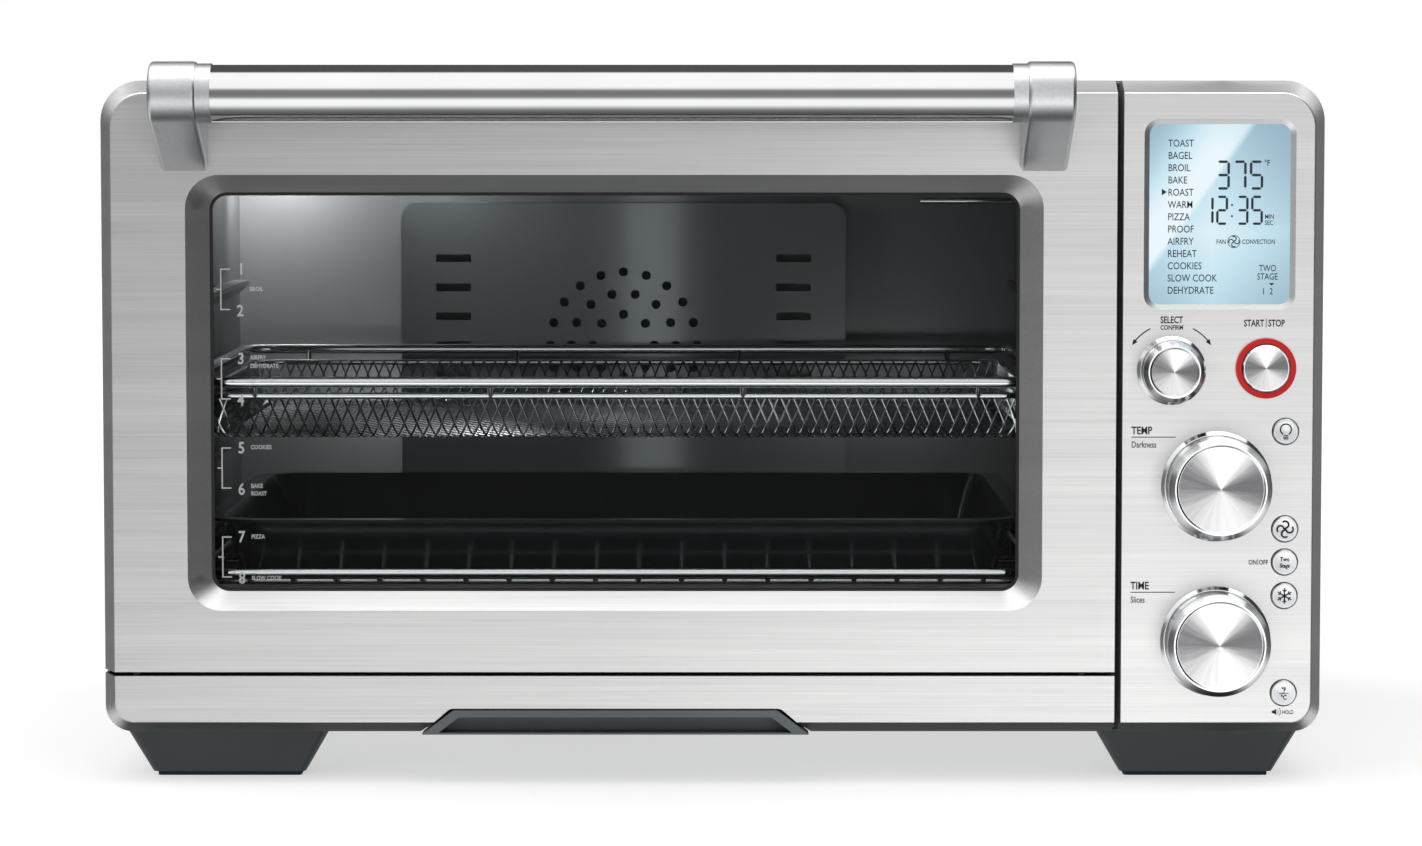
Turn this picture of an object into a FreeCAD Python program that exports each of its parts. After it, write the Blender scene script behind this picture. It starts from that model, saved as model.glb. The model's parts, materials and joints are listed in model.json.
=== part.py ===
# Countertop convection oven: drop-down glass door, two sliding racks, crumb tray and a right-hand
# control panel.  Millimetres.  +Z is up, the door faces -Y and +X is to the right as seen from the
# front.  The origin is the bottom centre of the whole oven: z = 0 is the counter under the feet.
import FreeCAD, Part
import math
import os

V = FreeCAD.Vector

# ---- Shell -------------------------------------------------------------------------------------
BODY_WIDTH = 546.0
BODY_HEIGHT = 292.0  # steel shell, without the feet
BODY_DEPTH = 384.0  # door face to rear panel
FOOT_HEIGHT = 22.0
SHEET = 1.2  # pressed steel sheet
SPACER_REACH = 4.0  # rear spacers behind the rear panel
TOP_RADIUS = 18.0
BOTTOM_RADIUS = 12.0
BEVEL_WIDTH = 5.5  # soft bevel round the front, seen from the front
BEVEL_DEPTH = 12.5
CREASE_RADIUS = 0.8
TOUCH_GAP = 0.3  # air between moving and fixed pieces
SEAM = 1.0  # seam between front pieces and the wrap cover
PAST = 1.0  # a cutting tool runs this far past the faces it cuts

# ---- Front split -------------------------------------------------------------------------------
PANEL_WIDTH = 90.5  # control panel
SIDE_GAP = 2.9  # door to control panel
STRIP_HEIGHT = 26.5  # strip under the door
DOOR_GAP = 1.8  # strip to door
DOOR_DEPTH = 25.0

# ---- Door window -------------------------------------------------------------------------------
FRAME_LEFT = 50.1  # door edge to glass edge
FRAME_RIGHT = 43.9
FRAME_TOP = 51.1
FRAME_BOTTOM = 36.9
WINDOW_RADIUS = 6.5
RECESS_SIDE = 11.3  # width of the sloped recess beside the glass
RECESS_RISE = 9.3  # the same above and below the glass
RECESS_RADIUS = 15.0
RECESS_DEPTH = 8.5
SEAL_SHOW = 1.4  # seal seen round the glass
SEAL_THICK = 1.5
GLASS_THICK = 4.0
GLASS_LAP = 7.0  # glass hidden behind the frame
LINER_LAP = 4.0

# ---- Handle ------------------------------------------------------------------------------------
BAR_RADIUS = 12.5
BAR_LENGTH = 348.0
CAP_RADIUS = 14.0
CAP_LENGTH = 27.0
COLLAR_LENGTH = 6.0
COLLAR_STEP = 0.9
HANDLE_OFFSET = 37.0  # bar axis in front of the door face
HANDLE_DROP = 6.0  # bar axis below the top of the door
ARM_FOOT_TOP = 10.0  # arm's foot on the door, below the top of the door
ARM_FOOT_BOTTOM = 40.0
ARM_EDGE = 2.0
HANDLE_SCREW_RADIUS = 2.0
HANDLE_SCREW_REACH = 12.0

# ---- Door hinge --------------------------------------------------------------------------------
HINGE_DEPTH = 5.0  # hinge axis behind the door face
HINGE_DROP = 12.4  # hinge axis below the door's lower edge
HINGE_PIN_RADIUS = 2.0
HINGE_EYE_RADIUS = 3.5
HINGE_FIT = 0.05
HINGE_ARM_THICK = 3.0
HINGE_ARM_BACK = 15.8  # how far the arm reaches back before it turns up
HINGE_ARM_UP = 60.0
HINGE_INSET = 12.0  # arm's outer face from the door's end

# ---- Cavity ------------------------------------------------------------------------------------
CAVITY_DEPTH = 318.0
CAVITY_SIDE = 27.0  # cavity wall from the shell's left side
CAVITY_RIGHT_SIDE = 20.6  # cavity wall from the door's right edge
CAVITY_RISE = 48.0  # cavity floor above the shell's underside
CAVITY_DROP = 22.0  # cavity top below the shell's top
FRAME_THICK = 1.5
LEDGE_COUNT = 4
LEDGE_FIRST = 31.0  # first rack level above the cavity floor
LEDGE_PITCH = 38.5
LEDGE_REACH = 7.0
LEDGE_HEIGHT = 5.0
LEDGE_START = 2.0  # ledges start behind the mouth
LEDGE_STOP = 22.0  # and stop short of the back

# ---- Racks -------------------------------------------------------------------------------------
RIM_ROD = 2.5  # radius of rim rods
FINE_ROD = 1.5  # radius of thin rods
RACK_WIRE = 1.25
RACK_INSET = 4.0  # support rod axis from the cavity wall
RACK_DROP = 10.0  # wire rack's platform below its support rods
RACK_LENGTH = 286.0
RACK_FRONT = 8.0  # first rod behind the cavity mouth
RACK_WIRE_PITCH = 19.6
RACK_CORNER = 14.0
BASKET_LEVEL = 2  # counted from the lowest ledge, which is 0
BASKET_DEEP = 26.0
BASKET_WALL = 1.2
PAN_HEIGHT = 25.0
PAN_LIP = 7.0
PAN_WALL = 1.4
PAN_TAPER = 9.0
PAN_CORNER = 22.0
PAN_SIDE = 7.0  # pan inside the rack's platform, at each side
PAN_FRONT = 14.0
PAN_REAR = 8.0

# ---- Heaters, fan, lamp ------------------------------------------------------------------------
TUBE_RADIUS = 5.5
TUBE_COUNT = 3
HOLDER_RADIUS = 8.0
HOLDER_LENGTH = 7.0
UPPER_HEATER_DROP = 14.0
LOWER_HEATER_RISE = 9.0
BAFFLE_LEFT = 85.0  # baffle edge from the cavity's left wall
BAFFLE_RIGHT = 90.0
BAFFLE_BOTTOM = 36.0
BAFFLE_TOP = 39.0
BAFFLE_REACH = 15.0
BAFFLE_RADIUS = 8.0
FAN_RADIUS = 52.0
FAN_HUB_RADIUS = 9.0
FAN_BLADES = 8
FAN_THICK = 8.0
FAN_GAP = 3.5  # fan to the cavity's back
FAN_HUB_STEP = 0.8
FAN_SHEET = 1.0
FAN_BLADE = 1.2
FAN_SHAFT_RADIUS = 2.5
MOTOR_RADIUS = 24.0
LAMP_RADIUS = 14.0
LAMP_BACK = 200.0  # lamp behind the cavity mouth
LAMP_DROP = 36.0
PROBE_BACK = 120.0
PROBE_DROP = 34.0
PROBE_RADIUS = 1.6
PROBE_LENGTH = 60.0

# ---- Controls: places are from the panel's right side; heights are shares of the space under the
# ---- display, so that the column spreads evenly when the oven is made taller -------------------
LCD_WIDTH = 62.4
LCD_HEIGHT = 79.8
LCD_RIGHT_SIDE = 16.6
LCD_DROP = 19.4
LCD_RADIUS = 4.5
LCD_RIM = 2.5
LCD_THICK = 2.0
LCD_LAP = 1.5  # window hidden behind the panel
LCD_BODY_EDGE = 2.0
LCD_BODY_THICK = 6.0
LCD_LEG_INSET = 4.0
LCD_LEG_RADIUS = 2.0
SELECT_SIDE = 68.9
SELECT_SHARE = 0.847
SELECT_RADIUS = 13.5
SELECT_FACE_RADIUS = 11.0
SELECT_RING_RADIUS = 15.35
SELECT_REACH = 15.0
SELECT_TRAVEL = 0.8
START_SIDE = 26.9
START_SHARE = 0.852
START_RADIUS = 10.5
START_RING_RADIUS = 13.4
START_TRAVEL = 1.2
DIAL_SIDE = 48.5
TEMP_SHARE = 0.579
TIME_SHARE = 0.219
DIAL_RADIUS = 22.8
DIAL_FACE_RADIUS = 19.8
DIAL_RING_RADIUS = 24.65
DIAL_REACH = 20.0
DIAL_DISH = 1.0
RING_REACH = 2.2
BUTTON_SIDE = 17.9
BUTTON_RADIUS = 5.8
BUTTON_REACH = 1.8
BUTTON_TRAVEL = 0.8
BUTTON_FIT = 0.35
BUTTON_SHARES = {
    "light_button": 0.706,
    "fan_button": 0.480,
    "stage_button": 0.403,
    "frozen_button": 0.325,
    "units_button": 0.0985,
}
SHAFT_RADIUS = 3.0
SHAFT_FIT = 0.05
BOARD_DEPTH = 24.4
BOARD_THICK = 1.6
BOARD_EDGE = 8.0

# ---- Under the cavity --------------------------------------------------------------------------
TRAY_WIDTH = 148.0
TRAY_LENGTH = 300.0
TRAY_WALL = 1.0
TRAY_HEIGHT = 6.0
TRAY_HANDLE_BOTTOM = 173.0  # width of the handle's lower edge
TRAY_HANDLE_TOP = 145.0
TRAY_HANDLE_HEIGHT = 10.8
TRAY_HANDLE_RISE = 0.4
TRAY_HANDLE_REACH = 2.0  # handle in front of the strip
TRAY_GRIP_HEIGHT = 7.0
TRAY_GRIP_DEPTH = 11.0
TRAY_GRIP_SIDE = 7.5
TRAY_GRIP_RISE = 0.8
TRAY_GRIP_RADIUS = 2.5
TRAY_HANDLE_RADIUS = 4.0
TRAY_HANDLE_SLANT = 5.0  # the sides slant, so they need more room than the top
TRAY_NOTCH_GAP = 0.6

# ---- Feet, screws, inlet -----------------------------------------------------------------------
FOOT_TOP_WIDTH = 92.0
FOOT_BOTTOM_WIDTH = 69.0
FOOT_TOP_LENGTH = 38.0
FOOT_BOTTOM_LENGTH = 28.0
FOOT_SIDE = 8.0
FOOT_SETBACK = 20.0
FOOT_TOP_RADIUS = 5.0
FOOT_BOTTOM_RADIUS = 3.0
PAD_THICK = 2.0
PAD_INSET = 2.0
SCREW_RADIUS = 1.8
SCREW_HEAD_RADIUS = 3.4
SCREW_HEAD = 1.8
CORD_RADIUS = 4.0
GLAND_RADIUS = 9.0
GLAND_STEP = 2.0  # flange beyond the hole in the rear panel
GLAND_SIDE = 44.0
GLAND_RISE = 40.0
GLAND_LENGTH = 14.0
GLAND_FLANGE = 3.0

# ---- Places worked out from the sizes above ----------------------------------------------------
FRONT_Y = HANDLE_OFFSET + CAP_RADIUS - (BODY_DEPTH + HANDLE_OFFSET + CAP_RADIUS + SPACER_REACH) / 2
REAR_Y = FRONT_Y + BODY_DEPTH
LEFT = -BODY_WIDTH / 2
RIGHT = BODY_WIDTH / 2
BOTTOM = FOOT_HEIGHT
TOP = BOTTOM + BODY_HEIGHT
PANEL_LEFT = RIGHT - PANEL_WIDTH
DOOR_RIGHT = PANEL_LEFT - SIDE_GAP
STRIP_TOP = BOTTOM + STRIP_HEIGHT
DOOR_BOTTOM = STRIP_TOP + DOOR_GAP
GLASS_LEFT = LEFT + FRAME_LEFT
GLASS_RIGHT = DOOR_RIGHT - FRAME_RIGHT
GLASS_BOTTOM = DOOR_BOTTOM + FRAME_BOTTOM
GLASS_TOP = TOP - FRAME_TOP
WINDOW_X = (GLASS_LEFT + GLASS_RIGHT) / 2
CAVITY_LEFT = LEFT + CAVITY_SIDE
CAVITY_RIGHT = DOOR_RIGHT - CAVITY_RIGHT_SIDE
CAVITY_X = (CAVITY_LEFT + CAVITY_RIGHT) / 2
CAVITY_HALF = (CAVITY_RIGHT - CAVITY_LEFT) / 2
CAVITY_BOTTOM = BOTTOM + CAVITY_RISE
CAVITY_TOP = TOP - CAVITY_DROP
FRAME_DEPTH = DOOR_DEPTH + SEAM
CAVITY_DEPTH_0 = FRAME_DEPTH + FRAME_THICK
CAVITY_DEPTH_1 = CAVITY_DEPTH_0 + CAVITY_DEPTH
LEVELS = [CAVITY_BOTTOM + LEDGE_FIRST + LEDGE_PITCH * i for i in range(LEDGE_COUNT)]
HINGE_Z = DOOR_BOTTOM - HINGE_DROP
HANDLE_Z = TOP - HANDLE_DROP
LCD_RIGHT = RIGHT - LCD_RIGHT_SIDE
LCD_LEFT = LCD_RIGHT - LCD_WIDTH
LCD_TOP = TOP - LCD_DROP
LCD_BOTTOM = LCD_TOP - LCD_HEIGHT


def at(depth):
    """The Y of a plane this far behind the door face."""
    return FRONT_Y + depth


def share(part):
    """The height of a control, as a share of the space between the shell's bottom and the display."""
    return BOTTOM + (LCD_BOTTOM - BOTTOM) * part


SELECT_AT = (RIGHT - SELECT_SIDE, share(SELECT_SHARE))
START_AT = (RIGHT - START_SIDE, share(START_SHARE))
TEMP_AT = (RIGHT - DIAL_SIDE, share(TEMP_SHARE))
TIME_AT = (RIGHT - DIAL_SIDE, share(TIME_SHARE))
BUTTONS_AT = {name: (RIGHT - BUTTON_SIDE, share(part)) for name, part in BUTTON_SHARES.items()}


# ---- Shapes ------------------------------------------------------------------------------------
def box(x0, x1, y0, y1, z0, z1):
    return Part.makeBox(x1 - x0, y1 - y0, z1 - z0, V(x0, y0, z0))


def cylinder_x(y, z, x0, x1, radius):
    return Part.makeCylinder(radius, x1 - x0, V(x0, y, z), V(1, 0, 0))


def cylinder_y(x, z, y0, y1, radius):
    return Part.makeCylinder(radius, y1 - y0, V(x, y0, z), V(0, 1, 0))


def tube_y(x, z, y0, y1, outer, inner):
    return cylinder_y(x, z, y0, y1, outer).cut(cylinder_y(x, z, y0 - 1, y1 + 1, inner))


def join(shapes):
    first, *rest = shapes
    return first.fuse(rest).removeSplitter() if rest else first


def turned_y(profile, x, z):
    """A solid turned about a line along Y through (x, z); profile is a list of (y, radius)."""
    points = [V(x + radius, y, z) for y, radius in profile]
    face = Part.Face(Part.makePolygon(points + points[:1]))
    return face.revolve(V(x, 0, z), V(0, 1, 0), 360)


def outline(x0, x1, z0, z1, radii, y):
    """A closed wire in the plane y: a rectangle with one radius for each corner.

    radii start at the lower left corner and go anticlockwise as seen from the front.
    """
    corners = [V(x0, y, z0), V(x1, y, z0), V(x1, y, z1), V(x0, y, z1)]
    along = [V(1, 0, 0), V(0, 0, 1), V(-1, 0, 0), V(0, 0, -1)]
    starts = []
    ends = []
    middles = []
    for i, (corner, radius) in enumerate(zip(corners, radii)):
        centre = corner - along[i - 1] * radius + along[i] * radius
        outward = (along[i - 1] - along[i]) * (radius / math.sqrt(2))
        starts.append(corner - along[i - 1] * radius)
        ends.append(corner + along[i] * radius)
        middles.append(centre + outward)
    edges = []
    for i in range(4):
        edges.append(Part.Arc(starts[i], middles[i], ends[i]).toShape())
        edges.append(Part.LineSegment(ends[i], starts[(i + 1) % 4]).toShape())
    return Part.Wire(edges)


def slab(x0, x1, z0, z1, radius, y0, y1):
    """A plate with rounded corners, between the planes y0 and y1."""
    face = Part.Face(outline(x0, x1, z0, z1, [radius] * 4, y0))
    return face.extrude(V(0, y1 - y0, 0))


def skin_between(wires):
    return Part.makeLoft(wires, True, True)


def bent_path(points, bend, closed=False):
    """Straight runs through the points, with an arc of radius bend at each corner."""
    count = len(points)
    inner = range(count) if closed else range(1, count - 1)
    arcs = {}
    for i in inner:
        here = points[i]
        back = (points[i - 1] - here).normalize()
        ahead = (points[(i + 1) % count] - here).normalize()
        half = back.getAngle(ahead) / 2
        trim = bend / math.tan(half)
        middle = (back + ahead).normalize()
        centre = here + middle * (bend / math.sin(half))
        arcs[i] = (here + back * trim, centre - middle * bend, here + ahead * trim)
    edges = []
    last = count if closed else count - 1
    for i in range(last):
        following = (i + 1) % count
        start = arcs[i][2] if i in arcs else points[i]
        end = arcs[following][0] if following in arcs else points[following]
        edges.append(Part.LineSegment(start, end).toShape())
        if following in arcs:
            edges.append(Part.Arc(*arcs[following]).toShape())
    return Part.Wire(Part.__sortEdges__(edges))


def rod(points, radius, bend, closed=False):
    """A round rod bent along the points."""
    path = bent_path(points, bend, closed)
    first = path.OrderedEdges[0]
    start = first.valueAt(first.FirstParameter)
    heading = first.tangentAt(first.FirstParameter)
    section = Part.Wire(Part.makeCircle(radius, start, heading))
    return path.makePipeShell([section], True, False)


def loop_rod(x0, x1, y0, y1, z, radius, corner):
    """A rod bent into a rounded rectangle that lies level."""
    points = [V((x0 + x1) / 2, y0, z), V(x1, y0, z), V(x1, y1, z), V(x0, y1, z), V(x0, y0, z)]
    half_a = rod([points[0], points[1], points[2], V((x0 + x1) / 2, y1, z)], radius, corner)
    half_b = rod([V((x0 + x1) / 2, y1, z), points[3], points[4], points[0]], radius, corner)
    return half_a.fuse(half_b)


# ---- Front skins -------------------------------------------------------------------------------
def front_form(inset):
    """The whole front block, with its bevelled edge, moved inwards by inset on every side."""
    slope = math.sqrt(1 / BEVEL_WIDTH**2 + 1 / BEVEL_DEPTH**2)
    narrow = BEVEL_WIDTH * (1 + inset * slope - inset / BEVEL_DEPTH)
    deep = BEVEL_DEPTH * (1 + inset * slope - inset / BEVEL_WIDTH)

    def ring(by, depth):
        radii = [BOTTOM_RADIUS, BOTTOM_RADIUS, TOP_RADIUS, TOP_RADIUS]
        radii = [radius - by / 2 for radius in radii]
        return outline(LEFT + by, RIGHT - by, BOTTOM + by, TOP - by, radii, at(depth))

    bevel = skin_between([ring(narrow, inset), ring(inset, deep)])
    block = Part.Face(ring(inset, deep)).extrude(V(0, FRAME_DEPTH - deep, 0))
    return bevel.fuse(block)


def soften_front(form):
    """Round the crease where the bevel meets the flat front."""
    front = [edge for edge in form.Edges if abs(edge.BoundBox.YMax - FRONT_Y) < 1e-6]
    return form.makeFillet(CREASE_RADIUS, front)


OUTER_FORM = soften_front(front_form(0.0))
INNER_FORM = front_form(SHEET)
FRONT_SHEET = OUTER_FORM.cut(INNER_FORM)


def front_region(x0, x1, z0, z1, depth=FRAME_DEPTH):
    return box(x0, x1, at(-1), at(depth), z0, z1)


def front_wall(x0, x1, z0, z1, depth=FRAME_DEPTH):
    """An inner edge of a front skin, folded back from the face and following the bevel."""
    return OUTER_FORM.common(box(x0, x1, at(-1), at(depth), z0, z1))


def window_ring(grow_x, grow_z, radius, depth):
    """A rounded rectangle round the glass, grown outwards."""
    return outline(
        GLASS_LEFT - grow_x,
        GLASS_RIGHT + grow_x,
        GLASS_BOTTOM - grow_z,
        GLASS_TOP + grow_z,
        [radius] * 4,
        at(depth),
    )


def window_plate(grow, radius, depth0, depth1):
    face = Part.Face(window_ring(grow, grow, radius, depth0))
    return face.extrude(V(0, depth1 - depth0, 0))


SEAL_FRONT = RECESS_DEPTH + 0.2
GLASS_FRONT = SEAL_FRONT + SEAL_THICK
LINER_FRONT = DOOR_DEPTH - SHEET
INNER_GLASS_FRONT = LINER_FRONT - GLASS_THICK


ARM_SLOT_SIDE = 0.6  # room beside a hinge arm where it enters the door
ARM_SLOT_RISE = 3.0  # the liner's slot above the door's lower edge
FINE_CUT = 0.1


def arm_slots(depth0, depth1, z0, z1):
    """Cuts for the two hinge arms."""
    cuts = []
    for x0, x1 in HINGE_ARMS.values():
        cuts.append(box(x0 - ARM_SLOT_SIDE, x1 + ARM_SLOT_SIDE, at(depth0), at(depth1), z0, z1))
    return cuts


HINGE_ARMS = {
    "hinge_arm_left": (LEFT + HINGE_INSET, LEFT + HINGE_INSET + HINGE_ARM_THICK),
    "hinge_arm_right": (DOOR_RIGHT - HINGE_INSET - HINGE_ARM_THICK, DOOR_RIGHT - HINGE_INSET),
}
HANDLE_X = {
    "handle_end_left": WINDOW_X - BAR_LENGTH / 2,
    "handle_end_right": WINDOW_X + BAR_LENGTH / 2,
}
HANDLE_SCREW_Z = TOP - (ARM_FOOT_TOP + ARM_FOOT_BOTTOM) / 2


def handle_side(name):
    """-1 for the left end of the handle, 1 for the right."""
    return -1 if name.endswith("left") else 1


def handle_screw_x(name):
    arm_width = CAP_LENGTH - COLLAR_LENGTH
    return HANDLE_X[name] + handle_side(name) * (COLLAR_LENGTH + arm_width / 2)


def door_skin():
    skin = FRONT_SHEET.common(front_region(LEFT - 1, DOOR_RIGHT, DOOR_BOTTOM, TOP + 1, DOOR_DEPTH))
    right_wall = front_wall(DOOR_RIGHT - SHEET, DOOR_RIGHT, DOOR_BOTTOM, TOP + 1, DOOR_DEPTH)
    bottom_wall = front_wall(LEFT - 1, DOOR_RIGHT, DOOR_BOTTOM, DOOR_BOTTOM + SHEET, DOOR_DEPTH)
    pocket = skin_between(
        [
            window_ring(RECESS_SIDE, RECESS_RISE, RECESS_RADIUS, 0),
            window_ring(SEAL_SHOW, SEAL_SHOW, WINDOW_RADIUS + SEAL_SHOW, RECESS_DEPTH),
        ]
    )
    outer = skin_between(
        [
            window_ring(RECESS_SIDE + SHEET, RECESS_RISE + SHEET, RECESS_RADIUS + SHEET, 0.01),
            window_ring(
                SEAL_SHOW + SHEET, SEAL_SHOW + SHEET, WINDOW_RADIUS + SEAL_SHOW + SHEET, RECESS_DEPTH
            ),
        ]
    )
    skin = join([skin, right_wall, bottom_wall, outer]).cut(pocket)
    slot_top = DOOR_BOTTOM + SHEET + FINE_CUT
    slots = arm_slots(SHEET + FINE_CUT, DOOR_DEPTH + PAST, DOOR_BOTTOM - PAST, slot_top)
    skin = skin.cut(slots)
    for name in HANDLE_X:
        hole = cylinder_y(handle_screw_x(name), HANDLE_SCREW_Z, at(-1), at(SHEET + 1), HANDLE_SCREW_RADIUS)
        skin = skin.cut(hole)
    return skin


def door_seal():
    lap = GLASS_LAP
    ring = window_plate(lap, WINDOW_RADIUS + lap, SEAL_FRONT, GLASS_FRONT)
    return ring.cut(window_plate(0, WINDOW_RADIUS, SEAL_FRONT - 1, GLASS_FRONT + 1))


def door_glass_outer():
    return window_plate(GLASS_LAP, WINDOW_RADIUS + GLASS_LAP, GLASS_FRONT, GLASS_FRONT + GLASS_THICK)


def door_glass_inner():
    lap = GLASS_LAP + LINER_LAP
    return window_plate(lap, WINDOW_RADIUS + lap, INNER_GLASS_FRONT, LINER_FRONT)


def door_liner():
    """The inner face of the door: a flat sheet with a window, folded forward to the outer glass."""
    inside = box(
        LEFT - 1, DOOR_RIGHT - SHEET, at(LINER_FRONT), at(DOOR_DEPTH), DOOR_BOTTOM + SHEET, TOP + 1
    )
    plate = INNER_FORM.common(inside)
    plate = plate.cut(window_plate(LINER_LAP, WINDOW_RADIUS + LINER_LAP, LINER_FRONT - 1, DOOR_DEPTH + 1))
    lap = GLASS_LAP + LINER_LAP
    frame_depth = GLASS_FRONT + GLASS_THICK
    frame = window_plate(lap + SHEET, WINDOW_RADIUS + lap + SHEET, frame_depth, LINER_FRONT)
    frame = frame.cut(window_plate(lap, WINDOW_RADIUS + lap, frame_depth - 1, LINER_FRONT + 1))
    liner = join([plate, frame])
    slot_top = DOOR_BOTTOM + SHEET + ARM_SLOT_RISE
    return liner.cut(arm_slots(LINER_FRONT - PAST, DOOR_DEPTH + PAST, DOOR_BOTTOM, slot_top))


# ---- Handle ------------------------------------------------------------------------------------
def handle_bar():
    """The round bar, shouldered where it enters each end."""
    half = BAR_LENGTH / 2
    return cylinder_x(at(-HANDLE_OFFSET), HANDLE_Z, WINDOW_X - half, WINDOW_X + half, BAR_RADIUS)


def tangent_point(y, z, side):
    """Where a line from (y, z) touches the cap's circle, in the side view."""
    away_y = y - at(-HANDLE_OFFSET)
    away_z = z - HANDLE_Z
    distance = math.hypot(away_y, away_z)
    turn = math.atan2(away_z, away_y) + side * math.acos(CAP_RADIUS / distance)
    return V(0, at(-HANDLE_OFFSET) + CAP_RADIUS * math.cos(turn), HANDLE_Z + CAP_RADIUS * math.sin(turn))


def handle_end(name):
    """A round cap with a collar, and the arm that carries it down to the door."""
    side = handle_side(name)
    arm_width = CAP_LENGTH - COLLAR_LENGTH
    foot_top = TOP - ARM_FOOT_TOP
    foot_bottom = TOP - ARM_FOOT_BOTTOM
    upper = tangent_point(at(0), foot_top, 1)
    lower = tangent_point(at(0), foot_bottom, -1)
    front = V(0, at(-HANDLE_OFFSET - CAP_RADIUS), HANDLE_Z)
    edges = [
        Part.Arc(upper, front, lower).toShape(),
        Part.LineSegment(lower, V(0, at(0), foot_bottom)).toShape(),
        Part.LineSegment(V(0, at(0), foot_bottom), V(0, at(0), foot_top)).toShape(),
        Part.LineSegment(V(0, at(0), foot_top), upper).toShape(),
    ]
    arm = Part.Face(Part.Wire(edges)).extrude(V(arm_width, 0, 0))
    rims = [edge for edge in arm.Edges if edge.BoundBox.XLength < 1e-6 and edge.BoundBox.YLength > 1e-6]
    arm = arm.makeFillet(ARM_EDGE, rims)
    inner_x = HANDLE_X[name] + side * COLLAR_LENGTH
    arm.translate(V(min(inner_x, inner_x + side * arm_width), 0, 0))
    x0, x1 = sorted([HANDLE_X[name], inner_x + side * arm_width / 2])
    collar = cylinder_x(at(-HANDLE_OFFSET), HANDLE_Z, x0, x1, CAP_RADIUS - COLLAR_STEP)
    screw_end = at(-HANDLE_SCREW_REACH)
    hole = cylinder_y(handle_screw_x(name), HANDLE_SCREW_Z, screw_end, at(PAST), HANDLE_SCREW_RADIUS)
    return join([arm, collar]).cut(hole)


def handle_screws():
    screws = []
    for name in HANDLE_X:
        x = handle_screw_x(name)
        shank = cylinder_y(x, HANDLE_SCREW_Z, at(-HANDLE_SCREW_REACH), at(SHEET), HANDLE_SCREW_RADIUS)
        head = cylinder_y(x, HANDLE_SCREW_Z, at(SHEET), at(SHEET + SCREW_HEAD), SCREW_HEAD_RADIUS)
        screws.append(shank.fuse(head))
    return Part.makeCompound(screws)


# ---- Hinge -------------------------------------------------------------------------------------
def hinge_arm(name):
    """A hooked plate: from the pin it reaches back, then up into the door."""
    x0, x1 = HINGE_ARMS[name]
    y = at(HINGE_DEPTH)
    half = HINGE_EYE_RADIUS - 0.5
    back = y + HINGE_ARM_BACK
    eye = cylinder_x(y, HINGE_Z, x0, x1, HINGE_EYE_RADIUS)
    reach = box(x0, x1, y, back + half, HINGE_Z - half, HINGE_Z + half)
    up = box(x0, x1, back - half, back + half, HINGE_Z - half, HINGE_Z + HINGE_ARM_UP)
    hole = cylinder_x(y, HINGE_Z, x0 - 1, x1 + 1, HINGE_PIN_RADIUS + HINGE_FIT)
    return join([eye, reach, up]).cut(hole)


CHEEK_GAP = 1.0
CHEEK_THICK = 2.0
CHEEK_REACH = 8.0  # bracket above and below the pin
CHEEK_BACK = 0.5  # bracket behind the front pieces
SPRING_RADIUS = 3.2
SPRING_WALL = 0.9
SPRING_GAP = 0.5
SPRING_LENGTH = 8.0


def cheek_span(name):
    """The inner faces of a bracket's two cheeks; the spring sits beside the arm, towards the middle."""
    x0, x1 = HINGE_ARMS[name]
    if name.endswith("left"):
        return x0 - CHEEK_GAP, x1 + CHEEK_GAP + SPRING_LENGTH
    return x0 - CHEEK_GAP - SPRING_LENGTH, x1 + CHEEK_GAP


def hinge_bracket(name):
    """Two cheeks that hold the pin, joined behind the arm and footed on the base pan."""
    x0, x1 = cheek_span(name)
    back = FRAME_DEPTH + CHEEK_BACK
    z0 = HINGE_Z - CHEEK_REACH
    z1 = HINGE_Z + CHEEK_REACH
    cheeks = box(x0 - CHEEK_THICK, x1 + CHEEK_THICK, at(SHEET + TOUCH_GAP), at(back), z0, z1)
    cheeks = cheeks.cut(box(x0, x1, at(0), at(back - CHEEK_THICK), z0 - PAST, z1 + PAST))
    foot = box(x0 + CHEEK_THICK, x1, at(back - CHEEK_THICK), at(back), BOTTOM + SHEET, HINGE_Z)
    ends = CHEEK_THICK + PAST
    pin_hole = cylinder_x(at(HINGE_DEPTH), HINGE_Z, x0 - ends, x1 + ends, HINGE_PIN_RADIUS)
    return join([cheeks, foot]).cut(pin_hole)


def hinge_pins():
    pins = []
    for name in HINGE_ARMS:
        x0, x1 = cheek_span(name)
        pins.append(
            cylinder_x(at(HINGE_DEPTH), HINGE_Z, x0 - CHEEK_THICK, x1 + CHEEK_THICK, HINGE_PIN_RADIUS)
        )
    return Part.makeCompound(pins)


def hinge_springs():
    """Close-wound torsion springs on the pins, as closed sleeves."""
    springs = []
    for name, (x0, x1) in HINGE_ARMS.items():
        start = x1 + CHEEK_GAP if name.endswith("left") else x0 - CHEEK_GAP - SPRING_LENGTH
        end = start + SPRING_LENGTH
        outer = max(SPRING_RADIUS, HINGE_PIN_RADIUS + TOUCH_GAP + SPRING_WALL)
        coil = cylinder_x(at(HINGE_DEPTH), HINGE_Z, start + SPRING_GAP, end - SPRING_GAP, outer)
        bore = cylinder_x(at(HINGE_DEPTH), HINGE_Z, start, end, HINGE_PIN_RADIUS + TOUCH_GAP)
        springs.append(coil.cut(bore))
    return Part.makeCompound(springs)


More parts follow.
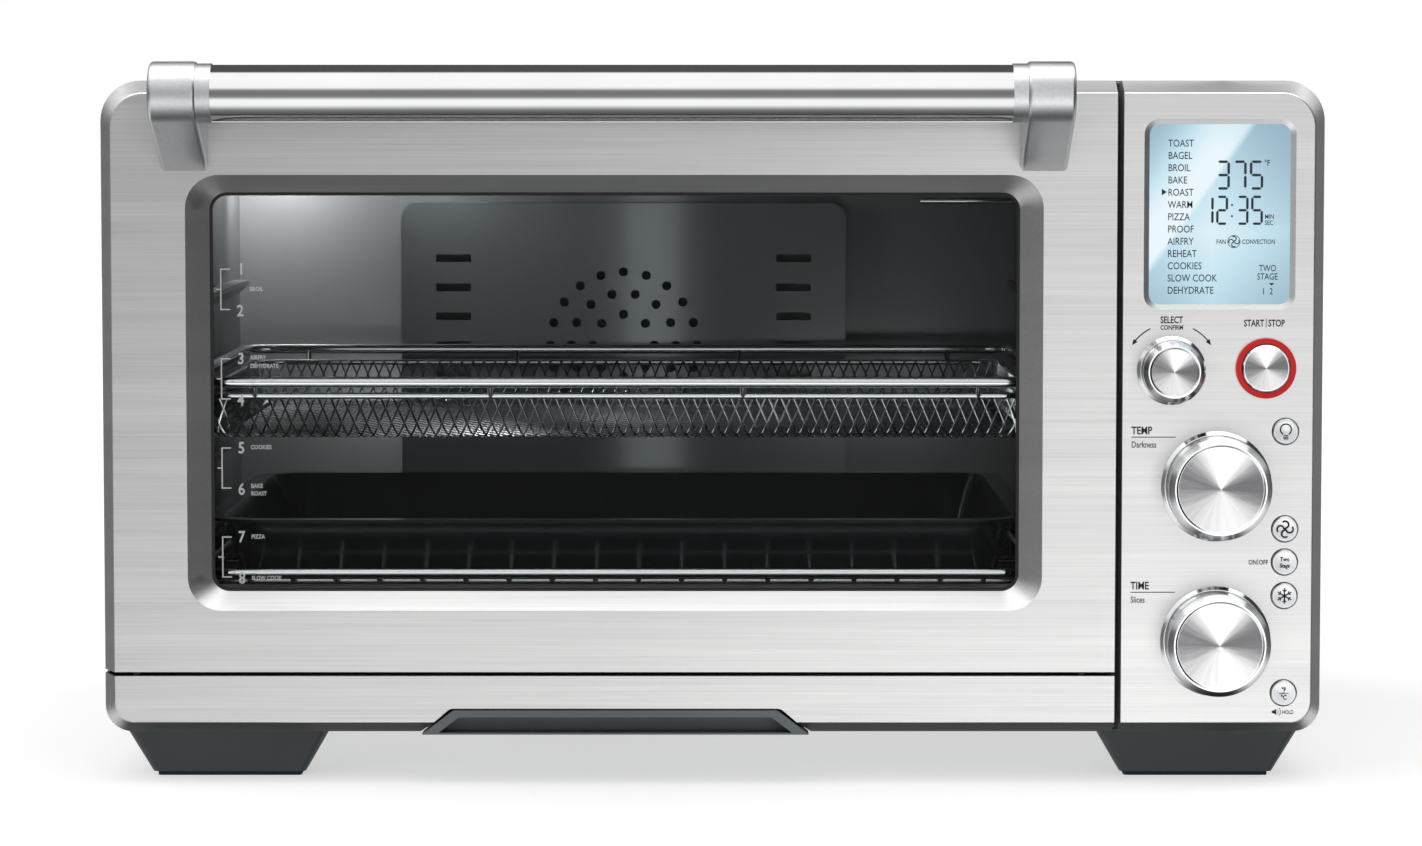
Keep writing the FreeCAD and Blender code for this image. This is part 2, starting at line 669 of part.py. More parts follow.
# ---- Fixed front pieces ------------------------------------------------------------------------
def trapezoid(bottom_width, top_width, z0, z1, corner, y0, y1):
    """A prism under the door: wide at the bottom, narrower at the top, upper corners rounded."""
    x = CAVITY_X
    points = [
        V(x - bottom_width / 2, y0, z0),
        V(x + bottom_width / 2, y0, z0),
        V(x + top_width / 2, y0, z1),
        V(x - top_width / 2, y0, z1),
    ]
    prism = Part.Face(Part.makePolygon(points + points[:1])).extrude(V(0, y1 - y0, 0))
    tops = []
    for edge in prism.Edges:
        along_y = edge.BoundBox.YLength > abs(y1 - y0) - 0.01
        if along_y and edge.BoundBox.ZMin > z1 - 0.01:
            tops.append(edge)
    return prism.makeFillet(corner, tops)


TRAY_HANDLE_Z = BOTTOM + TRAY_HANDLE_RISE


def tray_handle_block(grow, y0, y1):
    z0 = TRAY_HANDLE_Z - grow
    z1 = TRAY_HANDLE_Z + TRAY_HANDLE_HEIGHT + grow
    lower = TRAY_HANDLE_BOTTOM + TRAY_HANDLE_SLANT * grow
    upper = TRAY_HANDLE_TOP + TRAY_HANDLE_SLANT * grow
    return trapezoid(lower, upper, z0, z1, TRAY_HANDLE_RADIUS, y0, y1)


HEM_DEPTH = 5.5  # the strip's upper edge, folded back short of the hinge pins


def lower_front_panel():
    """The strip under the door, notched for the crumb tray's handle."""
    strip = FRONT_SHEET.common(front_region(LEFT - 1, DOOR_RIGHT, BOTTOM - 1, STRIP_TOP))
    hem_inset = 2 * HINGE_INSET
    hem = front_wall(LEFT + hem_inset, DOOR_RIGHT - hem_inset, STRIP_TOP - SHEET, STRIP_TOP, HEM_DEPTH)
    end = front_wall(DOOR_RIGHT - SHEET, DOOR_RIGHT, BOTTOM - 1, STRIP_TOP)
    notch = tray_handle_block(TRAY_NOTCH_GAP, at(-2), at(DOOR_DEPTH + 1))
    return join([strip, hem, end]).cut(notch)


def round_places():
    """Every round control: name, (x, z) and the radius of its hole in the panel."""
    places = [
        (SELECT_AT, SHAFT_RADIUS + 2 * BUTTON_FIT),
        (START_AT, START_RADIUS + BUTTON_FIT),
        (TEMP_AT, SHAFT_RADIUS + 2 * BUTTON_FIT),
        (TIME_AT, SHAFT_RADIUS + 2 * BUTTON_FIT),
    ]
    return places + [(place, BUTTON_RADIUS + BUTTON_FIT) for place in BUTTONS_AT.values()]


def lcd_outline(grow, depth):
    radii = [LCD_RADIUS + grow] * 4
    return outline(LCD_LEFT - grow, LCD_RIGHT + grow, LCD_BOTTOM - grow, LCD_TOP + grow, radii, at(depth))


def control_panel():
    panel = FRONT_SHEET.common(front_region(PANEL_LEFT, RIGHT + 1, BOTTOM - 1, TOP + 1))
    left_wall = front_wall(PANEL_LEFT, PANEL_LEFT + SHEET, BOTTOM - 1, TOP + 1)
    panel = join([panel, left_wall])
    dish = skin_between([lcd_outline(LCD_RIM + 0.1, -0.05), lcd_outline(0, SHEET + 0.05)])
    panel = panel.cut(dish)
    for (x, z), radius in round_places():
        panel = panel.cut(cylinder_y(x, z, at(-1), at(SHEET + 1), radius))
    return panel


BAY_EDGE = 10.0  # flange left round the control bay
TRAY_WAY_SIDE = 1.0  # room beside the crumb tray in the flange
TRAY_WAY_RISE = 2.0  # room over the crumb tray's handle


def frame_hole(x0, x1, z0, z1):
    """A cut right through the flange."""
    return box(x0, x1, at(FRAME_DEPTH - PAST), at(FRAME_DEPTH + FRAME_THICK + PAST), z0, z1)


def front_frame():
    """The flat flange behind the door, strip and panel, open at the cavity and the control bay."""
    plate = shell_block(SHEET, FRAME_DEPTH, FRAME_DEPTH + FRAME_THICK)
    half = TRAY_WIDTH / 2 + TRAY_WAY_SIDE
    tray_top = TRAY_HANDLE_Z + TRAY_HANDLE_HEIGHT + TRAY_WAY_RISE
    holes = [
        frame_hole(PANEL_LEFT + BAY_EDGE, RIGHT - BAY_EDGE, BOTTOM + BAY_EDGE, TOP - BAY_EDGE),
        frame_hole(CAVITY_LEFT, CAVITY_RIGHT, CAVITY_BOTTOM, CAVITY_TOP),
        frame_hole(CAVITY_X - half, CAVITY_X + half, BOTTOM, tray_top),
    ]
    side = CHEEK_THICK + TOUCH_GAP
    for name in HINGE_ARMS:
        x0, x1 = cheek_span(name)
        holes.append(frame_hole(x0 - side, x1 + side, BOTTOM, HINGE_Z + CHEEK_REACH + SEAM))
    return plate.cut(holes)


# ---- Wrap cover, rear panel and base -----------------------------------------------------------
VENT_LENGTH = 26.0
VENT_WIDTH = 3.0
VENT_PITCH = 8.0
VENT_ROWS = 10
VENT_REAR = 34.0  # vent block from the rear panel
VENT_DROP = 40.0  # top vent below the shell's top


def shell_outline(inset, depth):
    radii = [BOTTOM_RADIUS - inset, BOTTOM_RADIUS - inset, TOP_RADIUS - inset, TOP_RADIUS - inset]
    return outline(LEFT + inset, RIGHT - inset, BOTTOM + inset, TOP - inset, radii, at(depth))


def shell_block(inset, depth0, depth1):
    return Part.Face(shell_outline(inset, depth0)).extrude(V(0, depth1 - depth0, 0))


BASE_INSET = 14.0  # the wrap's bottom flange, seen from below


def wrap_cover():
    """Top and sides bent from one sheet, with a short flange turned in along each lower edge."""
    shell = shell_block(0, FRAME_DEPTH, BODY_DEPTH)
    shell = shell.cut(shell_block(SHEET, FRAME_DEPTH - PAST, BODY_DEPTH + PAST))
    x0 = LEFT + BASE_INSET
    y0 = at(FRAME_DEPTH - PAST)
    y1 = at(BODY_DEPTH + PAST)
    shell = shell.cut(box(x0, RIGHT - BASE_INSET, y0, y1, BOTTOM - PAST, BOTTOM + SHEET + PAST))
    slots = []
    for row in range(VENT_ROWS):
        z = TOP - VENT_DROP - row * VENT_PITCH
        y = REAR_Y - VENT_REAR - VENT_LENGTH
        slots.append(box(LEFT - 1, RIGHT + 1, y, y + VENT_LENGTH, z - VENT_WIDTH, z))
    return shell.cut(Part.makeCompound(slots))


REAR_INSET = SHEET
SCREW_PLACES_X = (-0.46, -0.155, 0.155, 0.46)  # share of the body's width
SCREW_EDGE = 9.0
REAR_VENT_COLUMNS = 14
REAR_VENT_PITCH = 9.0
REAR_VENT_HEIGHT = 34.0
REAR_VENT_DROP = 80.0  # lower edge of the top block, below the shell's top
REAR_VENT_RISE = 60.0  # lower edge of the bottom block, above the shell's underside
SCREW_LENGTH = 8.0


def rear_screw_places():
    places = []
    for part in SCREW_PLACES_X:
        places.append((part * BODY_WIDTH, TOP - SCREW_EDGE))
        places.append((part * BODY_WIDTH, BOTTOM + SCREW_EDGE))
    return places


GLAND_X = RIGHT - GLAND_SIDE
GLAND_Z = BOTTOM + GLAND_RISE


def rear_panel():
    panel = shell_block(REAR_INSET, BODY_DEPTH - SHEET, BODY_DEPTH)
    y0 = REAR_Y - SHEET - PAST
    y1 = REAR_Y + PAST
    cuts = [cylinder_y(x, z, y0, y1, SCREW_RADIUS) for x, z in rear_screw_places()]
    cuts.append(cylinder_y(GLAND_X, GLAND_Z, y0, y1, GLAND_RADIUS - GLAND_STEP))
    for z in (TOP - REAR_VENT_DROP, BOTTOM + REAR_VENT_RISE):
        for column in range(REAR_VENT_COLUMNS):
            x = CAVITY_X + (column - (REAR_VENT_COLUMNS - 1) / 2) * REAR_VENT_PITCH - VENT_WIDTH / 2
            cuts.append(box(x, x + VENT_WIDTH, y0, y1, z, z + REAR_VENT_HEIGHT))
    return panel.cut(Part.makeCompound(cuts))


def cover_screws():
    screws = []
    for x, z in rear_screw_places():
        shank = cylinder_y(x, z, REAR_Y - SCREW_LENGTH, REAR_Y, SCREW_RADIUS)
        head = cylinder_y(x, z, REAR_Y, REAR_Y + SCREW_HEAD, SCREW_HEAD_RADIUS)
        screws.append(shank.fuse(head))
    return Part.makeCompound(screws)


SPACER_X = 0.34
SPACER_WIDTH = 36.0
SPACER_HEIGHT = 16.0
SPACER_DROP = 50.0
SPACER_RADIUS = 3.0


def rear_spacers():
    spacers = []
    for side in (-1, 1):
        x = side * SPACER_X * BODY_WIDTH - SPACER_WIDTH / 2
        z = TOP - SPACER_DROP - SPACER_HEIGHT / 2
        block = slab(
            x, x + SPACER_WIDTH, z, z + SPACER_HEIGHT, SPACER_RADIUS, REAR_Y, REAR_Y + SPACER_REACH
        )
        spacers.append(block)
    return Part.makeCompound(spacers)


def cord_gland():
    """The bushing the supply cord comes out of; its bore is empty."""
    y0 = REAR_Y - GLAND_LENGTH
    inside = cylinder_y(GLAND_X, GLAND_Z, y0, REAR_Y, GLAND_RADIUS - GLAND_STEP)
    flange = cylinder_y(GLAND_X, GLAND_Z, REAR_Y, REAR_Y + GLAND_FLANGE, GLAND_RADIUS)
    bore = cylinder_y(GLAND_X, GLAND_Z, y0 - PAST, REAR_Y + GLAND_FLANGE + PAST, CORD_RADIUS)
    return join([inside, flange]).cut(bore)


GUIDE_GAP = 1.0  # crumb tray to guide
GUIDE_THICK = 3.0
GUIDE_START = 4.0
GUIDE_PAST = 10.0
GUIDE_HEIGHT = 11.0


def base_pan():
    """The bottom plate: it closes the shell and carries the crumb tray and the hinge brackets."""
    y0 = at(FRAME_DEPTH)
    plate = box(LEFT + BASE_INSET, RIGHT - BASE_INSET, y0, at(BODY_DEPTH - SHEET), BOTTOM, BOTTOM + SHEET)
    guides = []
    for side in (-1, 1):
        x0 = CAVITY_X + side * (TRAY_WIDTH / 2 + GUIDE_GAP + GUIDE_THICK / 2) - GUIDE_THICK / 2
        y1 = y0 + TRAY_LENGTH + GUIDE_PAST
        z1 = BOTTOM + GUIDE_HEIGHT
        guides.append(box(x0, x0 + GUIDE_THICK, y0 + GUIDE_START, y1, BOTTOM + SHEET, z1))
    return join([plate] + guides)


# ---- Feet --------------------------------------------------------------------------------------
def foot_places():
    """Centre of each foot, with the side it leans from."""
    x = BODY_WIDTH / 2 - FOOT_SIDE - FOOT_TOP_WIDTH / 2
    front = at(FOOT_SETBACK + FOOT_TOP_LENGTH / 2)
    rear = REAR_Y - FOOT_SETBACK - FOOT_TOP_LENGTH / 2
    return {
        "foot_front_left": (-x, front),
        "foot_front_right": (x, front),
        "foot_rear_left": (-x, rear),
        "foot_rear_right": (x, rear),
    }


def level_outline(x, y, width, length, corner, z):
    """A closed wire at height z: a rounded rectangle."""
    flat = outline(x - width / 2, x + width / 2, y - length / 2, y + length / 2, [corner] * 4, 0)
    flat.rotate(V(0, 0, 0), V(1, 0, 0), -90)
    flat.translate(V(0, 0, z))
    return flat


def foot(name):
    x, y = foot_places()[name]
    wires = [
        level_outline(x, y, FOOT_BOTTOM_WIDTH, FOOT_BOTTOM_LENGTH, FOOT_BOTTOM_RADIUS, PAD_THICK),
        level_outline(x, y, FOOT_TOP_WIDTH, FOOT_TOP_LENGTH, FOOT_TOP_RADIUS, BOTTOM),
    ]
    return skin_between(wires)


def foot_pads():
    pads = []
    for x, y in foot_places().values():
        width = FOOT_BOTTOM_WIDTH - 2 * PAD_INSET
        length = FOOT_BOTTOM_LENGTH - 2 * PAD_INSET
        lower = level_outline(x, y, width, length, FOOT_BOTTOM_RADIUS - PAD_INSET / 2, 0)
        pads.append(Part.Face(lower).extrude(V(0, 0, PAD_THICK)))
    return Part.makeCompound(pads)


# ---- Cavity ------------------------------------------------------------------------------------
def cavity_wall(side):
    """A side wall with its pressed rack ledges; side is -1 for the left, 1 for the right."""
    inner = CAVITY_LEFT if side < 0 else CAVITY_RIGHT
    y0 = at(CAVITY_DEPTH_0)
    y1 = at(CAVITY_DEPTH_1)
    x0, x1 = sorted([inner, inner + side * SHEET])
    wall = box(x0, x1, y0, y1, CAVITY_BOTTOM - SHEET, CAVITY_TOP + SHEET)
    start = y0 + LEDGE_START
    length = CAVITY_DEPTH - LEDGE_START - LEDGE_STOP
    ledges = []
    for level in LEVELS:
        top = level - RIM_ROD - TOUCH_GAP
        profile = [
            V(inner, start, top - LEDGE_HEIGHT - LEDGE_REACH / 2),
            V(inner - side * LEDGE_REACH, start, top - LEDGE_HEIGHT / 2),
            V(inner - side * LEDGE_REACH, start, top),
            V(inner, start, top),
        ]
        ledge = Part.Face(Part.makePolygon(profile + profile[:1])).extrude(V(0, length, 0))
        ledges.append(ledge)
    return join([wall] + ledges)


def cavity_left_wall():
    return cavity_wall(-1)


def cavity_right_wall():
    wall = cavity_wall(1)
    x, y, z = LAMP_AT
    wall = wall.cut(cylinder_x(y, z, x - PAST, x + SHEET + PAST, LAMP_RADIUS - LENS_LAP))
    y, z = PROBE_AT
    return wall.cut(cylinder_x(y, z, x - PAST, x + SHEET + PAST, PROBE_RADIUS))


def cavity_sheet(z0):
    return box(CAVITY_LEFT, CAVITY_RIGHT, at(CAVITY_DEPTH_0), at(CAVITY_DEPTH_1), z0, z0 + SHEET)


CRUMB_WAY_X = 137.0
CRUMB_WAY_Y = 60.0


def cavity_floor():
    """The floor, open in the middle so that crumbs fall to the tray."""
    sheet = cavity_sheet(CAVITY_BOTTOM - SHEET)
    way = box(
        CAVITY_LEFT + CRUMB_WAY_X,
        CAVITY_RIGHT - CRUMB_WAY_X,
        at(CAVITY_DEPTH_0 + CRUMB_WAY_Y),
        at(CAVITY_DEPTH_1 - CRUMB_WAY_Y),
        CAVITY_BOTTOM - SHEET - PAST,
        CAVITY_BOTTOM + PAST,
    )
    return sheet.cut(way)


def cavity_top():
    return cavity_sheet(CAVITY_TOP)


FAN_X = (CAVITY_LEFT + BAFFLE_LEFT + CAVITY_RIGHT - BAFFLE_RIGHT) / 2
FAN_Z = (CAVITY_BOTTOM + BAFFLE_BOTTOM + CAVITY_TOP - BAFFLE_TOP) / 2
MOTOR_FACE = CAVITY_DEPTH_1 + SHEET
MOTOR_LENGTH = 25.0
SHAFT_ROOM = 1.0  # gap round the fan's shaft in the cavity's back
SHAFT_REACH = 12.0  # shaft inside the motor
SHAFT_BORE = 14.0


def cavity_back():
    sheet = box(
        CAVITY_LEFT - SHEET,
        CAVITY_RIGHT + SHEET,
        at(CAVITY_DEPTH_1),
        at(CAVITY_DEPTH_1 + SHEET),
        CAVITY_BOTTOM - SHEET,
        CAVITY_TOP + SHEET,
    )
    y0 = at(CAVITY_DEPTH_1 - PAST)
    return sheet.cut(cylinder_y(FAN_X, FAN_Z, y0, at(MOTOR_FACE + PAST), FAN_SHAFT_RADIUS + SHAFT_ROOM))


BAFFLE_HOLE = 2.4
BAFFLE_RINGS = ((16.0, 8), (27.0, 14), (38.0, 20))
BAFFLE_SLOTS = 7
BAFFLE_SLOT_X = 88.0
BAFFLE_SLOT_PITCH = 15.0
BAFFLE_SLOT_HALF = (9.0, 2.0)


def baffle_block(inset, depth0, depth1):
    return slab(
        CAVITY_LEFT + BAFFLE_LEFT + inset,
        CAVITY_RIGHT - BAFFLE_RIGHT - inset,
        CAVITY_BOTTOM + BAFFLE_BOTTOM + inset,
        CAVITY_TOP - BAFFLE_TOP - inset,
        BAFFLE_RADIUS - inset / 2,
        at(depth0),
        at(depth1),
    )


def fan_grille():
    """The pressed baffle in front of the fan: drilled in the middle, slotted down both sides."""
    front = CAVITY_DEPTH_1 - BAFFLE_REACH
    shell = baffle_block(0, front, CAVITY_DEPTH_1)
    shell = shell.cut(baffle_block(SHEET, front + SHEET, CAVITY_DEPTH_1 + PAST))
    y0 = at(front - PAST)
    y1 = at(front + SHEET + PAST)
    holes = []
    for radius, count in BAFFLE_RINGS:
        for i in range(count):
            turn = 2 * math.pi * i / count
            x = FAN_X + radius * math.cos(turn)
            z = FAN_Z + radius * math.sin(turn)
            holes.append(cylinder_y(x, z, y0, y1, BAFFLE_HOLE))
    half_x, half_z = BAFFLE_SLOT_HALF
    for side in (-1, 1):
        for i in range(BAFFLE_SLOTS):
            x = FAN_X + side * BAFFLE_SLOT_X
            z = FAN_Z + (i - (BAFFLE_SLOTS - 1) / 2) * BAFFLE_SLOT_PITCH
            holes.append(box(x - half_x, x + half_x, y0, y1, z - half_z, z + half_z))
    return shell.cut(Part.makeCompound(holes))


def convection_fan():
    """A hub on its shaft, with radial blades on a thin disc."""
    y0 = at(CAVITY_DEPTH_1 - FAN_GAP - FAN_THICK)
    y1 = y0 + FAN_THICK
    hub = cylinder_y(FAN_X, FAN_Z, y0 - FAN_HUB_STEP, y1, FAN_HUB_RADIUS)
    disc = cylinder_y(FAN_X, FAN_Z, y1 - FAN_SHEET, y1, FAN_RADIUS)
    shaft = cylinder_y(FAN_X, FAN_Z, y1 - FAN_SHEET, at(MOTOR_FACE + SHAFT_REACH), FAN_SHAFT_RADIUS)
    z0 = FAN_Z + FAN_HUB_RADIUS - 2 * FAN_SHEET
    z1 = FAN_Z + FAN_RADIUS - FAN_SHEET
    blades = []
    for i in range(FAN_BLADES):
        blade = box(FAN_X - FAN_BLADE / 2, FAN_X + FAN_BLADE / 2, y0, y1, z0, z1)
        blade.rotate(V(FAN_X, 0, FAN_Z), V(0, 1, 0), 360 * i / FAN_BLADES)
        blades.append(blade)
    return join([hub, disc, shaft] + blades)


def fan_motor():
    body = cylinder_y(FAN_X, FAN_Z, at(MOTOR_FACE), at(MOTOR_FACE + MOTOR_LENGTH), MOTOR_RADIUS)
    y0 = at(MOTOR_FACE - PAST)
    bore = FAN_SHAFT_RADIUS + SHAFT_FIT
    return body.cut(cylinder_y(FAN_X, FAN_Z, y0, at(MOTOR_FACE + SHAFT_BORE), bore))


# ---- Heaters, lamp and probe -------------------------------------------------------------------
def heater_depths():
    """The tubes are evenly spread from front to back, short of the baffle."""
    room = CAVITY_DEPTH - BAFFLE_REACH
    return [CAVITY_DEPTH_0 + room * (i + 0.5) / TUBE_COUNT for i in range(TUBE_COUNT)]


UPPER_HEATER_Z = CAVITY_TOP - UPPER_HEATER_DROP
LOWER_HEATER_Z = CAVITY_BOTTOM + LOWER_HEATER_RISE


def heater_tubes():
    """Quartz tubes from wall to wall, in a row over the food and a row under it."""
    x0 = CAVITY_LEFT + HOLDER_LENGTH
    x1 = CAVITY_RIGHT - HOLDER_LENGTH
    tubes = []
    for z in (UPPER_HEATER_Z, LOWER_HEATER_Z):
        tubes += [cylinder_x(at(depth), z, x0, x1, TUBE_RADIUS) for depth in heater_depths()]
    return Part.makeCompound(tubes)


def heater_holders():
    holders = []
    for z in (UPPER_HEATER_Z, LOWER_HEATER_Z):
        for depth in heater_depths():
            for x in (CAVITY_LEFT, CAVITY_RIGHT - HOLDER_LENGTH):
                holders.append(cylinder_x(at(depth), z, x, x + HOLDER_LENGTH, HOLDER_RADIUS))
    return Part.makeCompound(holders)


LAMP_AT = (CAVITY_RIGHT, at(CAVITY_DEPTH_0 + LAMP_BACK), CAVITY_TOP - LAMP_DROP)
PROBE_AT = (at(CAVITY_DEPTH_0 + PROBE_BACK), CAVITY_TOP - PROBE_DROP)
LENS_REACH = 5.0
LENS_WALL = 2.0
LENS_LAP = 3.0
LENS_EDGE = 2.5
BULB_RADIUS = 6.0
BULB_BACK = 16.0
LAMP_BASE_LENGTH = 18.0
PROBE_TAIL = 8.0
PROBE_NUT_RADIUS = 4.5
PROBE_NUT_END = 6.0


def lamp_lens():
    """A shallow glass cover over the lamp's hole."""
    x, y, z = LAMP_AT
    face = x - LENS_REACH
    disc = cylinder_x(y, z, face, x, LAMP_RADIUS)
    rim = [edge for edge in disc.Edges if abs(edge.BoundBox.XMax - face) < 1e-6]
    disc = disc.makeFillet(LENS_EDGE, rim)
    return disc.cut(cylinder_x(y, z, face + LENS_WALL, x + PAST, LAMP_RADIUS - LENS_LAP))


def oven_lamp():
    x, y, z = LAMP_AT
    bulb = cylinder_x(y, z, x - LENS_WALL, x + BULB_BACK, BULB_RADIUS)
    base = cylinder_x(y, z, x + SHEET, x + LAMP_BASE_LENGTH, LAMP_RADIUS - SHEET)
    return join([bulb, base])


def temperature_probe():
    y, z = PROBE_AT
    x = CAVITY_RIGHT
    stem = cylinder_x(y, z, x - PROBE_LENGTH, x + PROBE_TAIL, PROBE_RADIUS)
    nut = cylinder_x(y, z, x + SHEET, x + PROBE_NUT_END, PROBE_NUT_RADIUS)
    return join([stem, nut])


# ---- Racks, basket and pan ---------------------------------------------------------------------
RACK_Y0 = at(CAVITY_DEPTH_0 + RACK_FRONT)
RACK_Y1 = RACK_Y0 + RACK_LENGTH
RACK_HALF = CAVITY_HALF - RACK_INSET
PLATFORM_HALF = CAVITY_HALF - LEDGE_REACH - 2 * RIM_ROD - TOUCH_GAP
PLATFORM_Z = LEVELS[0] - RACK_DROP
WIRE_Z = PLATFORM_Z - RIM_ROD
SUPPORT_START = 26.0
SUPPORT_BEND = 3.4
WIRE_PAST = 1.0  # long wires end this far past the rim's axis, cross wires this far inside it
CROSS_STEP = 1.6  # cross wires below the long ones, in wire radii
CROSS_SHARES = (0.03, 0.36, 0.64, 0.97)


def support_rod(side):
    """A rail bent up and outwards from the platform, so that it rides on the ledge."""
    inner = CAVITY_X + side * PLATFORM_HALF
    outer = CAVITY_X + side * RACK_HALF
    y0 = RACK_Y0 + SUPPORT_START
    y1 = RACK_Y1 - SUPPORT_START
    points = [
        V(inner, y0, PLATFORM_Z),
        V(inner, y0, LEVELS[0]),
        V(outer, y0, LEVELS[0]),
        V(outer, y1, LEVELS[0]),
        V(inner, y1, LEVELS[0]),
        V(inner, y1, PLATFORM_Z),
    ]
    return rod(points, RIM_ROD, SUPPORT_BEND)


def wire_rack():
    x0 = CAVITY_X - PLATFORM_HALF
    x1 = CAVITY_X + PLATFORM_HALF
    pieces = [loop_rod(x0, x1, RACK_Y0, RACK_Y1, PLATFORM_Z, RIM_ROD, RACK_CORNER)]
    wires = int((2 * PLATFORM_HALF - 2 * RACK_CORNER) / RACK_WIRE_PITCH)
    for i in range(wires + 1):
        x = CAVITY_X + (i - wires / 2) * RACK_WIRE_PITCH
        pieces.append(cylinder_y(x, WIRE_Z, RACK_Y0 - WIRE_PAST, RACK_Y1 + WIRE_PAST, RACK_WIRE))
    cross_z = WIRE_Z - RACK_WIRE * CROSS_STEP
    for part in CROSS_SHARES:
        y = RACK_Y0 + RACK_LENGTH * part
        pieces.append(cylinder_x(y, cross_z, x0 + WIRE_PAST, x1 - WIRE_PAST, RACK_WIRE))
    pieces += [support_rod(-1), support_rod(1)]
    return join(pieces)


BASKET_Z = LEVELS[BASKET_LEVEL]
FINE_DROP = 6.5  # thin rod below the rim
FINE_SETBACK = 6.0
FINE_SIDE = 3.0  # thin rod clear of the ledges
FINE_HALF = CAVITY_HALF - LEDGE_REACH - FINE_ROD - FINE_SIDE
BASKET_STUBS = (-0.86, -0.3, 0.3, 0.86)


def basket_frame():
    """The thick rim that rides on the ledges, with a thinner rod hung inside and below it."""
    rim = loop_rod(
        CAVITY_X - RACK_HALF, CAVITY_X + RACK_HALF, RACK_Y0, RACK_Y1, BASKET_Z, RIM_ROD, RACK_CORNER
    )
    fine_z = BASKET_Z - FINE_DROP
    fine = loop_rod(
        CAVITY_X - FINE_HALF,
        CAVITY_X + FINE_HALF,
        RACK_Y0 + FINE_SETBACK,
        RACK_Y1 - FINE_SETBACK,
        fine_z,
        FINE_ROD,
        RACK_CORNER,
    )
    pieces = [rim, fine]
    for part in BASKET_STUBS:
        x = CAVITY_X + part * FINE_HALF
        for y, inward in ((RACK_Y0, FINE_SETBACK), (RACK_Y1, -FINE_SETBACK)):
            heading = V(0, inward, -FINE_DROP)
            pieces.append(Part.makeCylinder(FINE_ROD, heading.Length, V(x, y, BASKET_Z), heading))
    return join(pieces)


MESH_TOP = BASKET_Z - FINE_DROP + FINE_ROD / 2
MESH_GAP = 0.1
MESH_BEND = 7.0  # height of the bend into the bottom
MESH_LEAN = 2.0  # walls lean in by this much down to the bend
MESH_TURN = 8.0  # and by this much at the bottom
LOFT_PAST = 0.01


def basket_ring(inset, z):
    grow = FINE_HALF - FINE_ROD - MESH_GAP - inset
    y0 = RACK_Y0 + FINE_SETBACK + FINE_ROD + MESH_GAP + inset
    y1 = RACK_Y1 - FINE_SETBACK - FINE_ROD - MESH_GAP - inset
    return level_outline(CAVITY_X, (y0 + y1) / 2, 2 * grow, y1 - y0, RACK_CORNER - inset / 2, z)


def basket_mesh():
    """The basket's hanging tray of expanded mesh, as a plain thin-walled tray."""
    bottom = BASKET_Z - BASKET_DEEP
    bend_z = bottom + MESH_BEND
    outer = skin_between(
        [basket_ring(0, MESH_TOP), basket_ring(MESH_LEAN, bend_z), basket_ring(MESH_TURN, bottom)]
    )
    inner = skin_between(
        [
            basket_ring(BASKET_WALL, MESH_TOP + LOFT_PAST),
            basket_ring(MESH_LEAN + BASKET_WALL, bend_z + BASKET_WALL / 2),
            basket_ring(MESH_TURN + BASKET_WALL / 2, bottom + BASKET_WALL),
        ]
    )
    return outer.cut(inner)


PAN_BOTTOM = WIRE_Z + RACK_WIRE
PAN_HALF = PLATFORM_HALF - PAN_SIDE
PAN_Y0 = RACK_Y0 + PAN_FRONT
PAN_Y1 = RACK_Y1 - PAN_REAR


def pan_ring(grow, z):
    width = 2 * (PAN_HALF + grow)
    length = PAN_Y1 - PAN_Y0 + 2 * grow
    return level_outline(CAVITY_X, (PAN_Y0 + PAN_Y1) / 2, width, length, PAN_CORNER + grow, z)


def roasting_pan():
    """A shallow enamelled pan with sloped walls and a flat lip."""
    top = PAN_BOTTOM + PAN_HEIGHT
    outer = skin_between([pan_ring(-PAN_TAPER, PAN_BOTTOM), pan_ring(0, top)])
    lip = Part.Face(pan_ring(PAN_LIP, top - PAN_WALL)).extrude(V(0, 0, PAN_WALL))
    inner = skin_between(
        [pan_ring(-PAN_TAPER - PAN_WALL, PAN_BOTTOM + PAN_WALL), pan_ring(-PAN_WALL, top + LOFT_PAST)]
    )
    return join([outer, lip]).cut(inner)


# ---- Crumb tray --------------------------------------------------------------------------------
TRAY_HANDLE_BACK = 12.0
TRAY_Z = BOTTOM + SHEET + TOUCH_GAP


def crumb_tray():
    x0 = CAVITY_X - TRAY_WIDTH / 2
    x1 = CAVITY_X + TRAY_WIDTH / 2
    y0 = at(TRAY_HANDLE_BACK)
    y1 = y0 + TRAY_LENGTH
    z1 = TRAY_Z + TRAY_HEIGHT
    tray = box(x0, x1, y0, y1, TRAY_Z, z1)
    wall = TRAY_WALL
    return tray.cut(box(x0 + wall, x1 - wall, y0 + wall, y1 - wall, TRAY_Z + wall, z1 + PAST))


def crumb_tray_handle():
    """A moulded grip with a finger recess in its face."""
    block = tray_handle_block(0, at(-TRAY_HANDLE_REACH), at(TRAY_HANDLE_BACK))
    side = (TRAY_HANDLE_BOTTOM - TRAY_HANDLE_TOP) / 2 * TRAY_GRIP_HEIGHT / TRAY_HANDLE_HEIGHT
    bottom_width = TRAY_HANDLE_BOTTOM - 2 * TRAY_GRIP_SIDE
    z0 = TRAY_HANDLE_Z + TRAY_GRIP_RISE
    grip = trapezoid(
        bottom_width,
        bottom_width - 2 * side,
        z0,
        z0 + TRAY_GRIP_HEIGHT,
        TRAY_GRIP_RADIUS,
        at(-TRAY_HANDLE_REACH - PAST),
        at(TRAY_GRIP_DEPTH - TRAY_HANDLE_REACH),
    )
    return block.cut(grip)


# ---- Controls ----------------------------------------------------------------------------------
def lcd_window():
    return Part.Face(lcd_outline(LCD_LAP, SHEET)).extrude(V(0, LCD_THICK, 0))


